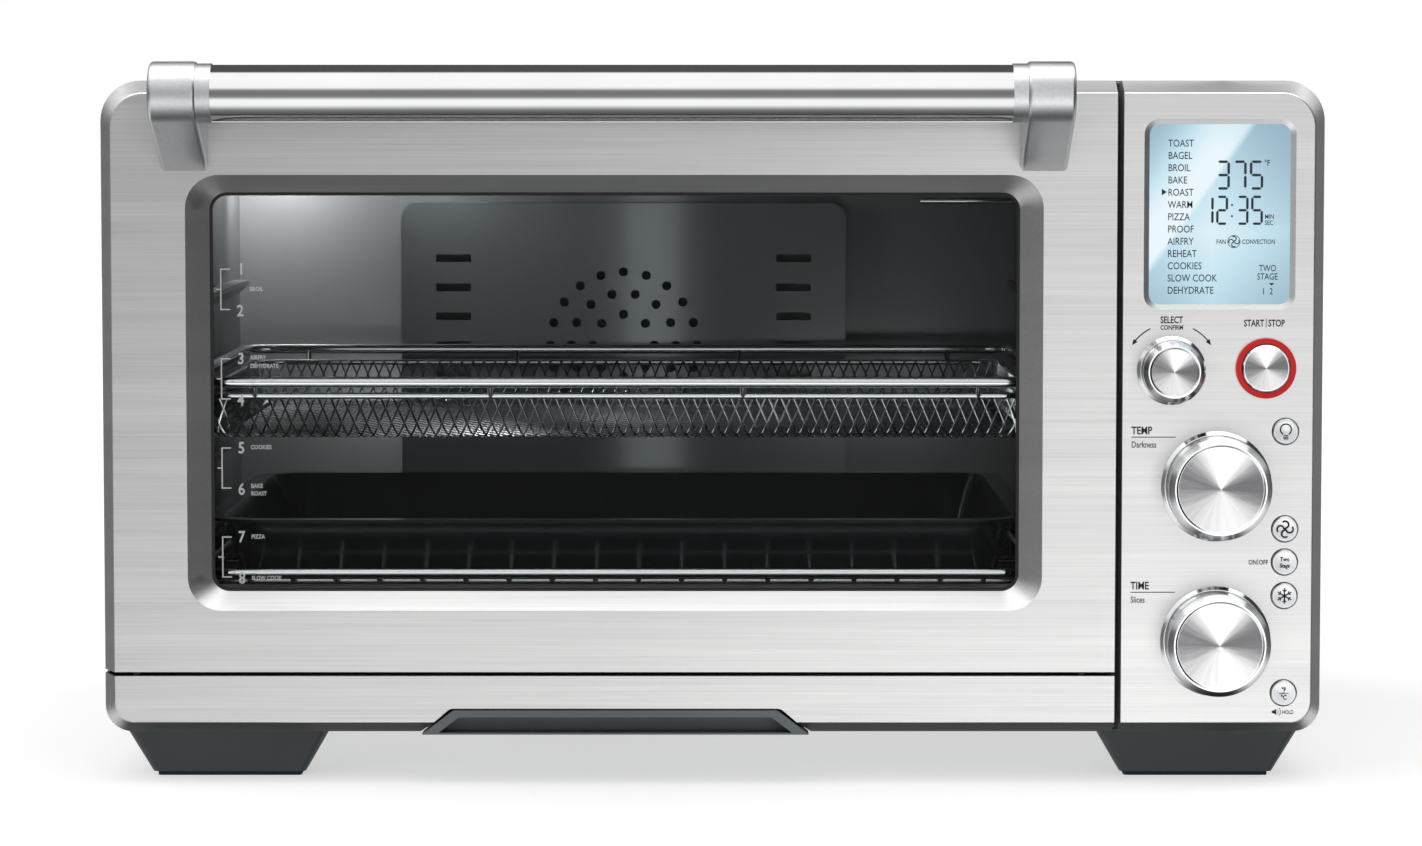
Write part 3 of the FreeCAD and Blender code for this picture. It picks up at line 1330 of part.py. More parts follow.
def lcd_module():
    """The display behind its window, on four legs that stand on the control board."""
    edge = LCD_BODY_EDGE
    front = SHEET + LCD_THICK
    back = front + LCD_BODY_THICK
    body = box(LCD_LEFT - edge, LCD_RIGHT + edge, at(front), at(back), LCD_BOTTOM - edge, LCD_TOP + edge)
    legs = []
    for x in (LCD_LEFT + LCD_LEG_INSET, LCD_RIGHT - LCD_LEG_INSET):
        for z in (LCD_BOTTOM + LCD_LEG_INSET, LCD_TOP - LCD_LEG_INSET):
            legs.append(cylinder_y(x, z, at(back - PAST), at(BOARD_DEPTH), LCD_LEG_RADIUS))
    return join([body] + legs)


def control_board():
    y0 = at(BOARD_DEPTH)
    edge = BOARD_EDGE
    return box(PANEL_LEFT + edge / 2, RIGHT - edge, y0, y0 + BOARD_THICK, BOTTOM + edge, TOP - edge)


ENCODER_HALF = 9.0
ENCODER_FRONT = 6.0
PLUNGER_RADIUS = 4.5
PLUNGER_FRONT = 4.0
PLUNGER_BACK = 16.0
SELECT_SHAFT_END = 10.0
DIAL_SHAFT_END = 16.0
KNOB_EDGE = 2.4
KNOB_CHAMFER = 0.6
KNOB_LIP = 0.8  # flat ring round the dished face
RING_EDGE = (1.2, 1.4)  # bevel of a knob ring: back from its face, in from its side


def dial_encoders():
    encoders = []
    dial_bore = DIAL_SHAFT_END + SEAM
    for place, bore, depth in (
        (SELECT_AT, PLUNGER_RADIUS + TOUCH_GAP, PLUNGER_BACK + 2 * SELECT_TRAVEL),
        (TEMP_AT, SHAFT_RADIUS + SHAFT_FIT, dial_bore),
        (TIME_AT, SHAFT_RADIUS + SHAFT_FIT, dial_bore),
    ):
        x, z = place
        half = ENCODER_HALF
        body = box(x - half, x + half, at(ENCODER_FRONT), at(BOARD_DEPTH), z - half, z + half)
        encoders.append(body.cut(cylinder_y(x, z, at(ENCODER_FRONT - 1), at(depth), bore)))
    return Part.makeCompound(encoders)


def knob_rings():
    rings = []
    bore = SHAFT_RADIUS + 2 * BUTTON_FIT
    edge_back, edge_in = RING_EDGE
    for (x, z), radius in (
        (SELECT_AT, SELECT_RING_RADIUS),
        (TEMP_AT, DIAL_RING_RADIUS),
        (TIME_AT, DIAL_RING_RADIUS),
    ):
        profile = [
            (at(0), bore),
            (at(0), radius),
            (at(-RING_REACH + edge_back), radius),
            (at(-RING_REACH), radius - edge_in),
            (at(-RING_REACH), bore),
        ]
        rings.append(turned_y(profile, x, z))
    return Part.makeCompound(rings)


def knob(place, radius, face_radius, gap, reach, shaft_end):
    """A turned knob with a chamfered rim, a shallow dished face and its shaft."""
    x, z = place
    back = -RING_REACH - gap
    profile = [
        (at(back), 0),
        (at(back), radius - KNOB_CHAMFER),
        (at(back - KNOB_CHAMFER), radius),
        (at(-reach + KNOB_EDGE), radius),
        (at(-reach), face_radius + KNOB_CHAMFER),
        (at(-reach), face_radius),
        (at(-reach + DIAL_DISH / 2), face_radius - KNOB_LIP),
        (at(-reach + DIAL_DISH), 0),
    ]
    body = turned_y(profile, x, z)
    shaft = cylinder_y(x, z, at(back), at(shaft_end), SHAFT_RADIUS)
    return join([body, shaft])


def select_knob():
    gap = SELECT_TRAVEL + TOUCH_GAP
    return knob(SELECT_AT, SELECT_RADIUS, SELECT_FACE_RADIUS, gap, SELECT_REACH, SELECT_SHAFT_END)


def temp_knob():
    return knob(TEMP_AT, DIAL_RADIUS, DIAL_FACE_RADIUS, TOUCH_GAP, DIAL_REACH, DIAL_SHAFT_END)


def time_knob():
    return knob(TIME_AT, DIAL_RADIUS, DIAL_FACE_RADIUS, TOUCH_GAP, DIAL_REACH, DIAL_SHAFT_END)


def select_plunger():
    """The sliding sleeve that the select knob turns in and presses on."""
    x, z = SELECT_AT
    sleeve = cylinder_y(x, z, at(PLUNGER_FRONT), at(PLUNGER_BACK), PLUNGER_RADIUS)
    end = at(SELECT_SHAFT_END + TOUCH_GAP)
    return sleeve.cut(cylinder_y(x, z, at(PLUNGER_FRONT - PAST), end, SHAFT_RADIUS + SHAFT_FIT))


BUTTON_EDGE = 0.5
BUTTON_BACK = 3.0
BUTTON_STEM = 2.0
START_REACH = 2.8
START_STEM = 3.0
START_RING_REACH = 1.4


def button(place, radius, reach, travel, stem):
    """A dished key on a stem that ends just short of its switch on the board."""
    x, z = place
    stem_end = BOARD_DEPTH - travel - TOUCH_GAP
    profile = [
        (at(-reach + BUTTON_EDGE), 0),
        (at(-reach), radius - 2 * BUTTON_EDGE),
        (at(-reach), radius - BUTTON_EDGE),
        (at(-reach + BUTTON_EDGE), radius),
        (at(BUTTON_BACK), radius),
        (at(BUTTON_BACK), stem),
        (at(stem_end), stem),
        (at(stem_end), 0),
    ]
    return turned_y(profile, x, z)


def start_stop_button():
    return button(START_AT, START_RADIUS, START_REACH, START_TRAVEL, START_STEM)


def start_stop_ring():
    x, z = START_AT
    return tube_y(x, z, at(-START_RING_REACH), at(0), START_RING_RADIUS, START_RADIUS + BUTTON_FIT)


# ---- Every piece, one file each ----------------------------------------------------------------
def all_pieces():
    makers = [
        wrap_cover, rear_panel, rear_spacers, base_pan, front_frame, lower_front_panel,
        control_panel, cover_screws, cord_gland, foot_pads, cavity_left_wall, cavity_right_wall,
        cavity_top, cavity_floor, cavity_back, fan_grille, convection_fan, fan_motor,
        heater_tubes, heater_holders, oven_lamp, lamp_lens, temperature_probe, door_skin, door_glass_outer,
        door_glass_inner, door_liner, door_seal, handle_bar, handle_screws, hinge_pins,
        hinge_springs, basket_frame, basket_mesh, wire_rack, roasting_pan, crumb_tray,
        crumb_tray_handle, lcd_window, lcd_module, control_board, dial_encoders, knob_rings,
        select_knob, select_plunger, temp_knob, time_knob, start_stop_button, start_stop_ring,
    ]
    pieces = {maker.__name__: maker() for maker in makers}
    for name in HANDLE_X:
        pieces[name] = handle_end(name)
    for name in HINGE_ARMS:
        pieces[name] = hinge_arm(name)
    pieces["hinge_brackets"] = Part.makeCompound([hinge_bracket(name) for name in HINGE_ARMS])
    pieces["feet"] = Part.makeCompound([foot(name) for name in foot_places()])
    for name, place in BUTTONS_AT.items():
        pieces[name] = button(place, BUTTON_RADIUS, BUTTON_REACH, BUTTON_TRAVEL, BUTTON_STEM)
    return pieces


os.makedirs("parts", exist_ok=True)
for node, shape in all_pieces().items():
    shape.exportStep("parts/" + node + ".step")
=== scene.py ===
# Countertop convection oven: finishes, printed markings, display and expanded-mesh basket on the
# fixed frame.  Everything is in metres; +Z is up and the door faces -Y.
import json
import math

import bpy
import numpy as np
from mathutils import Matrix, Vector

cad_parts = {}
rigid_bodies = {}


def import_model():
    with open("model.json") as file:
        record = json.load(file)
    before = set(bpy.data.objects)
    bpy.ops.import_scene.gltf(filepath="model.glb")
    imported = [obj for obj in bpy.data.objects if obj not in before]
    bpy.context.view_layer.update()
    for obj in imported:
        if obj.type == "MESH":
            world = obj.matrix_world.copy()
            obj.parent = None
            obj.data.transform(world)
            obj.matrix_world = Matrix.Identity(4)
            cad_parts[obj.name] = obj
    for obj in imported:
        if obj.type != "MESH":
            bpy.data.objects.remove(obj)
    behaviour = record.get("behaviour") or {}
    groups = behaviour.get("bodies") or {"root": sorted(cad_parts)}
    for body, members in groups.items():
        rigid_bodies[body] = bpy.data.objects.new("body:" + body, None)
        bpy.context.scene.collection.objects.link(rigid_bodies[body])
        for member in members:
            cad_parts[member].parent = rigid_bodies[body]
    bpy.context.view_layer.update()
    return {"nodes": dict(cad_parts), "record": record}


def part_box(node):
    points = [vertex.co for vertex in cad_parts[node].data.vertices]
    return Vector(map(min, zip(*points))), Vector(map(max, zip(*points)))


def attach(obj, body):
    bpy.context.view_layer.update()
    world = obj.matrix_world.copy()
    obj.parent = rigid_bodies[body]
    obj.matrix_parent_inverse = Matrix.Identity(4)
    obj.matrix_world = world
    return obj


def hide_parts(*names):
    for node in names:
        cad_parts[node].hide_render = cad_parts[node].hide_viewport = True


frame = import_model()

MM = 0.001
NODES = frame["nodes"]


# ---- Shader writing ----------------------------------------------------------------------------
class Value:
    """One output of a shader node; the usual operators add Math nodes after it."""

    def __init__(self, finish, socket):
        self.finish = finish
        self.socket = socket

    def math(self, operation, *others, clamp=False):
        inputs = {i: other for i, other in enumerate((self, *others))}
        return self.finish.node("ShaderNodeMath", {"operation": operation, "use_clamp": clamp}, inputs)

    def __add__(self, other):
        return self.math("ADD", other)

    __radd__ = __add__

    def __sub__(self, other):
        return self.math("SUBTRACT", other)

    def __rsub__(self, other):
        return self.finish.node("ShaderNodeMath", {"operation": "SUBTRACT"}, {0: other, 1: self})

    def __mul__(self, other):
        return self.math("MULTIPLY", other)

    __rmul__ = __mul__

    def __truediv__(self, other):
        return self.math("DIVIDE", other)

    def __rtruediv__(self, other):
        return self.finish.node("ShaderNodeMath", {"operation": "DIVIDE"}, {0: other, 1: self})

    def __pow__(self, other):
        return self.math("POWER", other)

    def __abs__(self):
        return self.math("ABSOLUTE")

    def sin(self):
        return self.math("SINE")

    def clamp(self):
        return self.math("ADD", 0.0, clamp=True)

    def over(self, low, high):
        """0 at low, 1 at high, smooth in between."""
        settings = {"interpolation_type": "SMOOTHSTEP"}
        inputs = {"Value": self, "From Min": low, "From Max": high}
        return self.finish.node("ShaderNodeMapRange", settings, inputs)


class Finish:
    """A material under construction."""

    end = "ShaderNodeOutputMaterial"

    def __init__(self, name):
        self.start(bpy.data.materials.new(name))

    def start(self, block):
        self.material = block
        self.material.use_nodes = True
        self.tree = self.material.node_tree
        self.tree.nodes.clear()
        self.surface = self.tree.nodes.new(self.end)
        self.places = None

    def node(self, kind, settings=None, inputs=None, output=0):
        made = self.tree.nodes.new(kind)
        for key, value in (settings or {}).items():
            if key == "stops":
                self.set_stops(made.color_ramp, value)
            else:
                setattr(made, key, value)
        for key, value in (inputs or {}).items():
            if isinstance(value, Value):
                self.tree.links.new(value.socket, made.inputs[key])
            else:
                made.inputs[key].default_value = value
        return Value(self, made.outputs[output])

    def set_stops(self, ramp, stops):
        while len(ramp.elements) < len(stops):
            ramp.elements.new(1.0)
        for element, (position, colour) in zip(ramp.elements, stops):
            element.position = position
            element.color = (*colour, 1.0)

    def place(self):
        """The point on the piece, in metres in the oven's frame."""
        if self.places is None:
            self.places = self.node("ShaderNodeTexCoord", output="Object")
        return self.places

    def axes(self, point=None):
        split = self.node("ShaderNodeSeparateXYZ", None, {0: point or self.place()})
        return [Value(self, split.socket.node.outputs[i]) for i in range(3)]

    def stretched(self, scale, shift=(0.0, 0.0, 0.0)):
        return self.node(
            "ShaderNodeMapping", None, {"Vector": self.place(), "Scale": scale, "Location": shift}
        )

    def noise(self, scale=1.0, detail=3.0, roughness=0.5, point=None):
        inputs = {"Vector": point or self.place(), "Scale": scale, "Detail": detail, "Roughness": roughness}
        return self.node("ShaderNodeTexNoise", None, inputs)

    def ramp(self, value, stops):
        return self.node("ShaderNodeValToRGB", {"stops": stops}, {0: value})

    def blend(self, factor, first, second, mode="MIX"):
        settings = {"data_type": "RGBA", "blend_type": mode}
        colours = [c if isinstance(c, Value) else (*c, 1.0) for c in (first, second)]
        return self.node("ShaderNodeMix", settings, {0: factor, 6: colours[0], 7: colours[1]}, output=2)

    def bump(self, height, distance, strength=1.0):
        return self.node(
            "ShaderNodeBump", None, {"Height": height, "Distance": distance, "Strength": strength}
        )

    def principled(self, **sockets):
        inputs = {key.replace("_", " "): value for key, value in sockets.items()}
        for key in ("Base Color", "Emission Color"):
            if key in inputs and not isinstance(inputs[key], Value):
                inputs[key] = (*inputs[key], 1.0)
        return self.node("ShaderNodeBsdfPrincipled", None, inputs)

    def done(self, shader):
        self.tree.links.new(shader.socket, self.surface.inputs["Surface"])
        return self.material


class Room(Finish):
    """The world, written with the same nodes as a material."""

    end = "ShaderNodeOutputWorld"

    def __init__(self, world):
        self.start(world)


# ---- Finishes ----------------------------------------------------------------------------------
GRAIN_FINE = 1500.0  # grain lines for each metre across the brushing
GRAIN_LONG = 9.0


def brushed(name, light, dark, roughness=0.34, relief=0.012):
    """Sheet steel brushed from side to side: on the oven's sides the grain runs front to back."""
    f = Finish(name)
    normal = f.node("ShaderNodeTexCoord", output="Normal")
    side = abs(f.axes(normal)[0]).over(0.6, 0.8)
    across = f.noise(1.0, 4.0, 0.65, f.stretched((GRAIN_LONG, GRAIN_FINE, GRAIN_FINE)))
    along_y = f.noise(1.0, 4.0, 0.65, f.stretched((GRAIN_FINE, GRAIN_LONG, GRAIN_FINE)))
    grain = across * (1 - side) + along_y * side
    wide = f.noise(1.0, 2.0, 0.5, f.stretched((3.0, 3.0, 90.0)))
    cloud = f.noise(5.0, 2.0)
    tone = (grain * 0.55 + wide * 0.3 + cloud * 0.15).over(0.3, 0.7)
    colour = f.blend(tone, dark, light)
    rough = roughness - 0.05 + grain * 0.10
    bump = f.bump(grain, relief * MM)
    return f.done(
        f.principled(Base_Color=colour, Metallic=1.0, Roughness=rough, Normal=bump, Anisotropic=0.4)
    )


def satin_metal(name, light, dark, roughness=0.32, speck=700.0):
    """Fine bead-blasted metal, a little duller where it is handled."""
    f = Finish(name)
    grit = f.noise(speck, 2.0, 0.6)
    wear = f.noise(18.0, 3.0)
    colour = f.blend((grit * 0.4 + wear * 0.6).over(0.3, 0.7), dark, light)
    bump = f.bump(grit, 0.004 * MM)
    return f.done(
        f.principled(Base_Color=colour, Metallic=1.0, Roughness=roughness + wear * 0.08, Normal=bump)
    )


def polished(name, colour, roughness=0.07):
    """Bright plated metal with faint draw lines and a trace of handling."""
    f = Finish(name)
    lines = f.noise(1.0, 3.0, 0.6, f.stretched((6.0, 900.0, 900.0)))
    smears = f.noise(30.0, 3.0)
    tone = f.blend((lines * 0.5 + smears * 0.5).over(0.25, 0.75), [c * 0.93 for c in colour], colour)
    return f.done(
        f.principled(
            Base_Color=tone, Metallic=1.0, Roughness=roughness + smears * 0.06,
            Normal=f.bump(lines, 0.003 * MM),
        )
    )


def spun(name, node, light, dark, face_radius, rim_radius, turn):
    """A turned metal face: bright and dark wedges of painted highlight and painted reflection swing round the
    axis, with fine turning rings.

    The wedge tone is a sum of cosines of twice and three times the angle round the axis.
    """
    low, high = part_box(node)
    f = Finish(name)
    x, _, z = f.axes()
    dx = x - (low[0] + high[0]) / 2
    dz = z - (low[2] + high[2]) / 2
    angle = dz.math("ARCTAN2", dx)
    radius = (dx * dx + dz * dz) ** 0.5
    # painted highlight and painted reflection: bright and dark wedges round the axis, with radial streaks,
    # stand in for the sheen light gives a turned face
    painted_highlight_wedges = (angle * 2 + turn).sin() * 0.55 + (angle * 3 + turn * 1.7).sin() * 0.22
    fine = f.noise(1.0, 2.0, 0.5, f.node("ShaderNodeCombineXYZ", None, {0: angle * 7.0, 1: radius * 60.0}))
    rings = f.noise(1.0, 2.0, 0.5, f.node("ShaderNodeCombineXYZ", None, {0: radius * 2600.0}))
    tone = (painted_highlight_wedges + fine * 0.5 + rings * 0.12).over(-0.45, 0.95)
    on_face = 1 - radius.over(face_radius * 0.985, face_radius)
    face = f.blend(tone, dark, light)
    rim = f.blend(radius.over(face_radius, rim_radius), (0.86, 0.87, 0.88), (0.5, 0.51, 0.52))
    colour = f.blend(on_face, rim, face)
    rough = 0.16 + on_face * 0.14
    return f.done(
        f.principled(Base_Color=colour, Metallic=1.0, Roughness=rough, Normal=f.bump(rings, 0.01 * MM))
    )


def enamel(name, colour, light, roughness=0.3, peel=140.0):
    """Baked enamel with slight orange peel and soft tonal drift."""
    f = Finish(name)
    skin = f.noise(peel, 2.0)
    drift = f.noise(4.0, 2.0)
    tone = f.blend(drift.over(0.35, 0.65), colour, light)
    return f.done(
        f.principled(
            Base_Color=tone, Roughness=roughness + skin * 0.08, Normal=f.bump(skin, 0.03 * MM),
            Coat_Weight=0.2, Coat_Roughness=0.15,
        )
    )


def moulded(name, colour, roughness=0.5):
    """Moulded plastic with a fine spark-eroded grain."""
    f = Finish(name)
    grain = f.noise(1400.0, 2.0, 0.6)
    drift = f.noise(9.0, 2.0)
    tone = f.blend(drift.over(0.3, 0.7), [c * 0.88 for c in colour], [c * 1.12 for c in colour])
    return f.done(
        f.principled(Base_Color=tone, Roughness=roughness + grain * 0.12, Normal=f.bump(grain, 0.01 * MM))
    )


def clear_pane(name, tint, gloss):
    """A thin clear pane: see-through, with a mirror gloss that grows towards grazing."""
    f = Finish(name)
    smear = f.noise(22.0, 3.0)
    fresnel = f.node("ShaderNodeFresnel", None, {"IOR": 1.5})
    through = f.node("ShaderNodeBsdfTransparent", None, {0: (*tint, 1.0)})
    mirror = f.principled(
        Base_Color=(0.9, 0.93, 0.94), Metallic=1.0, Roughness=0.02 + smear * 0.03
    )
    share = (fresnel * gloss).clamp()
    return f.done(f.node("ShaderNodeMixShader", None, {0: share, 1: through, 2: mirror}))


def frosted(name, colour, roughness=0.35):
    """Cloudy glass or glazed ceramic."""
    f = Finish(name)
    cloud = f.noise(120.0, 3.0)
    tone = f.blend(cloud.over(0.3, 0.7), [c * 0.9 for c in colour], colour)
    return f.done(f.principled(Base_Color=tone, Roughness=roughness + cloud * 0.1, Coat_Weight=0.3))


def ink(name, colour, roughness=0.45):
    """Screen-printed ink, slightly uneven."""
    f = Finish(name)
    patch = f.noise(900.0, 2.0)
    tone = f.blend(patch.over(0.3, 0.7), [c * 0.85 for c in colour], colour)
    return f.done(f.principled(Base_Color=tone, Roughness=roughness + patch * 0.1))


LIGHT_STOPS = [(0.0, (0.29, 0.43, 0.54)), (0.50, (0.58, 0.79, 0.89)), (0.85, (0.86, 0.95, 1.0))]


def lit_display(name):
    """The backlit display: pale blue, brighter towards the middle, with a painted reflection as a slanting
    bright band.
    """
    low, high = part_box("lcd_window")
    f = Finish(name)
    x, _, z = f.axes()
    u = (x - low[0]) / (high[0] - low[0])
    v = (z - low[2]) / (high[2] - low[2])
    middle = 1 - (abs(u - 0.45) * 0.5 + abs(v - 0.4) * 0.6)
    # painted reflection: a slanting bright band added to the display's glow
    painted_reflection_band = (v * 0.9 - u * 1.0).over(0.12, 0.2) * (1 - (v * 0.9 - u * 1.0).over(0.2, 0.9))
    dots = f.noise(900.0, 2.0)
    level = (middle * 0.75 + painted_reflection_band * 0.30 + dots * 0.05).over(0.25, 1.05)
    colour = f.ramp(level, LIGHT_STOPS)
    return f.done(
        f.principled(
            Base_Color=(0.03, 0.05, 0.06), Roughness=0.12 + dots * 0.05,
            Emission_Color=colour, Emission_Strength=0.92,
        )
    )


# ---- Building meshes ---------------------------------------------------------------------------
def piece(name, points, faces, body, finish, smooth=False):
    """A mesh object from a point array and face lists, riding on a body."""
    mesh = bpy.data.meshes.new(name)
    mesh.from_pydata(np.asarray(points, float).tolist(), [], [list(map(int, face)) for face in faces])
    mesh.materials.append(finish)
    mesh.polygons.foreach_set("use_smooth", np.full(len(mesh.polygons), smooth))
    mesh.update()
    made = bpy.data.objects.new(name, mesh)
    bpy.context.scene.collection.objects.link(made)
    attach(made, body)
    return made


def strand_mesh(paths, normals, half_width, half_thick):
    """Four-sided wires along many paths at once.

    Each section is a diamond: the path point plus and minus the sheet normal times half_thick, and
    plus and minus (tangent x normal) times half_width.  paths and normals are (strands, steps, 3).
    """
    tangent = np.gradient(paths, axis=1)
    across = np.cross(tangent, normals)
    across /= np.linalg.norm(across, axis=2, keepdims=True)
    ring = [normals * half_thick, across * half_width, -normals * half_thick, -across * half_width]
    points = np.stack([paths + offset for offset in ring], axis=2)
    strands, steps = paths.shape[:2]
    index = np.arange(strands * steps * 4).reshape(strands, steps, 4)
    here = index[:, :-1]
    ahead = index[:, 1:]
    turned = np.roll(here, -1, axis=2)
    turned_ahead = np.roll(ahead, -1, axis=2)
    sides = np.stack([here, turned, turned_ahead, ahead], axis=3).reshape(-1, 4)
    starts = index[:, 0, ::-1]
    ends = index[:, -1, :]
    return points.reshape(-1, 3), np.concatenate([sides, starts.reshape(-1, 4), ends.reshape(-1, 4)])


def standing(flat, y):
    """Points (x, z) as points in the upright plane y."""
    flat = np.asarray(flat, float)
    return np.stack([flat[:, 0], np.full(len(flat), y), flat[:, 1]], axis=1)


def flat_shapes(polygons, y):
    """Upright flat polygons, given as lists of (x, z), all facing the front in the plane y."""
    edges = np.cumsum([0] + [len(polygon) for polygon in polygons])
    faces = [range(start, end) for start, end in zip(edges[:-1], edges[1:])]
    points = [standing(polygon, y) for polygon in polygons]
    return np.concatenate([np.zeros((0, 3)), *points]), faces


def facing_front(polygon):
    """The polygon's points, ordered so that its face looks towards -Y."""
    x, z = np.asarray(polygon).T
    area = np.sum(x * np.roll(z, -1) - np.roll(x, -1) * z)
    return list(polygon) if area > 0 else list(polygon)[::-1]


def band(points, width):
    """The outline of a line of even width: each (x, z) point moved half a width to each side."""
    line = np.asarray(points, float)
    tangent = np.gradient(line, axis=0)
    tangent /= np.linalg.norm(tangent, axis=1, keepdims=True)
    sideways = np.stack([-tangent[:, 1], tangent[:, 0]], axis=1) * width / 2
    return facing_front(np.concatenate([line - sideways, (line + sideways)[::-1]]).tolist())


def arc_points(x, z, radius, start, end, steps=14):
    """Points at x + radius cos t, z + radius sin t, with t in degrees."""
    turn = np.radians(np.linspace(start, end, steps))
    return np.stack([x + radius * np.cos(turn), z + radius * np.sin(turn)], axis=1)


def disc(x, z, radius, steps=24):
    """A filled circle."""
    return facing_front(arc_points(x, z, radius, 0, 360 * (1 - 1 / steps), steps).tolist())


def bar(x0, x1, z0, z1):
    """A rectangle."""
    return [(x0, z0), (x1, z0), (x1, z1), (x0, z1)]


FONT_CAPITAL = 0.729  # height of a capital in the built-in typeface at size 1
# How far each letter's outline is moved outwards, at size 1.
LIGHT = 0.007
MEDIUM = 0.014
BOLD = 0.024


def letters(words, y):
    """Printed words: each is (text, x, baseline z, capital height, width share, anchor, weight).

    anchor is 0 for words that start at x, 0.5 for centred words and 1 for words that end at x.
    """
    points = [np.zeros((0, 3))]
    faces = []
    start = 0
    for text, x, z, height, stretch, anchor, weight in words:
        curve = bpy.data.curves.new("word", "FONT")
        curve.body = text
        curve.size = 1.0
        curve.offset = weight
        curve.resolution_u = 3
        source = bpy.data.objects.new("word", curve)
        mesh = bpy.data.meshes.new_from_object(source)
        flat = np.empty(len(mesh.vertices) * 3)
        mesh.vertices.foreach_get("co", flat)
        flat = flat.reshape(-1, 3)
        scale = height / FONT_CAPITAL
        wide = scale * stretch
        left = x - anchor * (flat[:, 0].max() * wide)
        placed = np.stack([left + flat[:, 0] * wide, z + flat[:, 1] * scale], axis=1)
        points.append(standing(placed, y))
        faces += [np.array(polygon.vertices) + start for polygon in mesh.polygons]
        start += len(flat)
        bpy.data.objects.remove(source)
        bpy.data.curves.remove(curve)
        bpy.data.meshes.remove(mesh)
    return np.concatenate(points), faces


def print_on(name, polygons, words, y, body, finish):
    """One printed piece: flat shapes and words together, in the plane y."""
    points, faces = flat_shapes([facing_front(polygon) for polygon in polygons], y)
    letter_points, letter_faces = letters(words, y)
    faces = faces + [face + len(points) for face in letter_faces]
    return piece(name, np.concatenate([points, letter_points]), faces, body, finish)


# ---- Places read from the frame ----------------------------------------------------------------
def centre(node):
    """The middle of a node's box, seen from the front."""
    low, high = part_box(node)
    return (low[0] + high[0]) / 2, (low[2] + high[2]) / 2


PRINT_LIFT = 0.06 * MM
PANEL_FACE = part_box("control_panel")[0][1]
GLASS_LAP = 7.0 * MM
WINDOW_LAP = 1.5 * MM
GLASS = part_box("door_glass_outer")
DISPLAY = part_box("lcd_window")


# ---- Panel printing ----------------------------------------------------------------------------
DIAL_TITLE = 3.5 * MM  # heights of capitals
DIAL_NOTE = 2.9 * MM
KEY_TITLE = 3.1 * MM
KEY_NOTE = 2.1 * MM
SWITCH_NOTE = 2.2 * MM
HOLD_NOTE = 1.8 * MM
BUTTON_WORD = 1.9 * MM
UNIT_WORD = 2.1 * MM
BUTTON_MARK = 3.9 * MM  # half the width of a mark on a small button
ARROW_RADIUS = 20.9 * MM  # arrows over the select dial


def dial_label(node, title, note):
    """A dial's title, a rule under it and a smaller note, up and to the left of the dial."""
    x, z = centre(node)
    left = x - 38.0 * MM
    words = [
        (title, left, z + 23.3 * MM, DIAL_TITLE, 0.80, 0, BOLD),
        (note, left, z + 17.3 * MM, DIAL_NOTE, 0.74, 0, MEDIUM),
    ]
    rule = bar(left, left + 19.8 * MM, z + 21.75 * MM, z + 22.15 * MM)
    return words, [rule]


def turn_arrows(node):
    """Two arcs over the select dial, each ending in an arrowhead that points down."""
    x, z = centre(node)
    shapes = []
    for side in (-1, 1):
        start = 90 - side * 27
        end = 90 - side * 50
        shapes.append(band(arc_points(x, z, ARROW_RADIUS, start, end), 0.55 * MM))
        tip = arc_points(x, z, ARROW_RADIUS, 90 - side * 57.5, 90 - side * 57.5, 1)[0]
        inner = arc_points(x, z, ARROW_RADIUS - 1.1 * MM, end, end, 1)[0]
        outer = arc_points(x, z, ARROW_RADIUS + 1.1 * MM, end, end, 1)[0]
        shapes.append([tuple(tip), tuple(inner), tuple(outer)])
    return shapes


def sound_mark(x, z):
    """A small speaker with two sound arcs."""
    half = [(x - 2.6, z + 0.6), (x - 1.7, z + 0.6), (x - 0.6, z + 1.5)]
    body = half + [(px, 2 * z - pz) for px, pz in half[::-1]]
    shapes = [body] + [band(arc_points(x - 1.0, z, radius, -48, 48), 0.3) for radius in (1.3, 2.3)]
    return [[(px * MM, pz * MM) for px, pz in shape] for shape in shapes]


def panel_printing(finish):
    """The words, rules and arrows on the control panel."""
    words = []
    shapes = []
    for node, title, note in (("temp_knob", "TEMP", "Darkness"), ("time_knob", "TIME", "Slices")):
        more_words, more_shapes = dial_label(node, title, note)
        words += more_words
        shapes += more_shapes
    x, z = centre("select_knob")
    words.append(("SELECT", x, z + 21.1 * MM, KEY_TITLE, 0.72, 0.5, BOLD))
    words.append(("CONFIRM", x, z + 18.2 * MM, KEY_NOTE, 0.80, 0.5, BOLD))
    shapes += turn_arrows("select_knob")
    x, z = centre("start_stop_button")
    words.append(("START", x - 0.9 * MM, z + 18.7 * MM, KEY_TITLE, 0.72, 1, BOLD))
    words.append(("STOP", x + 0.9 * MM, z + 18.7 * MM, KEY_TITLE, 0.72, 0, BOLD))
    shapes.append(bar(x - 0.15 * MM, x + 0.15 * MM, z + 18.3 * MM, z + 22.2 * MM))
    x, z = centre("stage_button")
    words.append(("ON", x - 12.4 * MM, z - 1.1 * MM, SWITCH_NOTE, 0.78, 1, BOLD))
    words.append(("OFF", x - 11.4 * MM, z - 1.1 * MM, SWITCH_NOTE, 0.78, 0, BOLD))
    shapes.append(bar(x - 12.05 * MM, x - 11.8 * MM, z - 1.5 * MM, z + 1.5 * MM))
    x, z = centre("units_button")
    shapes += sound_mark((x - 2.4 * MM) / MM, (z - 8.6 * MM) / MM)
    words.append(("HOLD", x - 0.4 * MM, z - 9.5 * MM, HOLD_NOTE, 0.74, 0, BOLD))
    return print_on("panel_printing", shapes, words, PANEL_FACE - PRINT_LIFT, "cabinet", finish)


# ---- Marks on the small buttons ----------------------------------------------------------------
def bulb_mark(x, z, r):
    """A ring for the bulb over three short bars for its cap."""
    ring = band(arc_points(x, z + 0.25 * r, 0.62 * r, -60, 240, 26), 0.14 * r)
    reach = 0.28 * r
    rungs = [bar(x - reach, x + reach, z - h * r, z - (h - 0.12) * r) for h in (0.5, 0.7, 0.88)]
    return [ring] + rungs


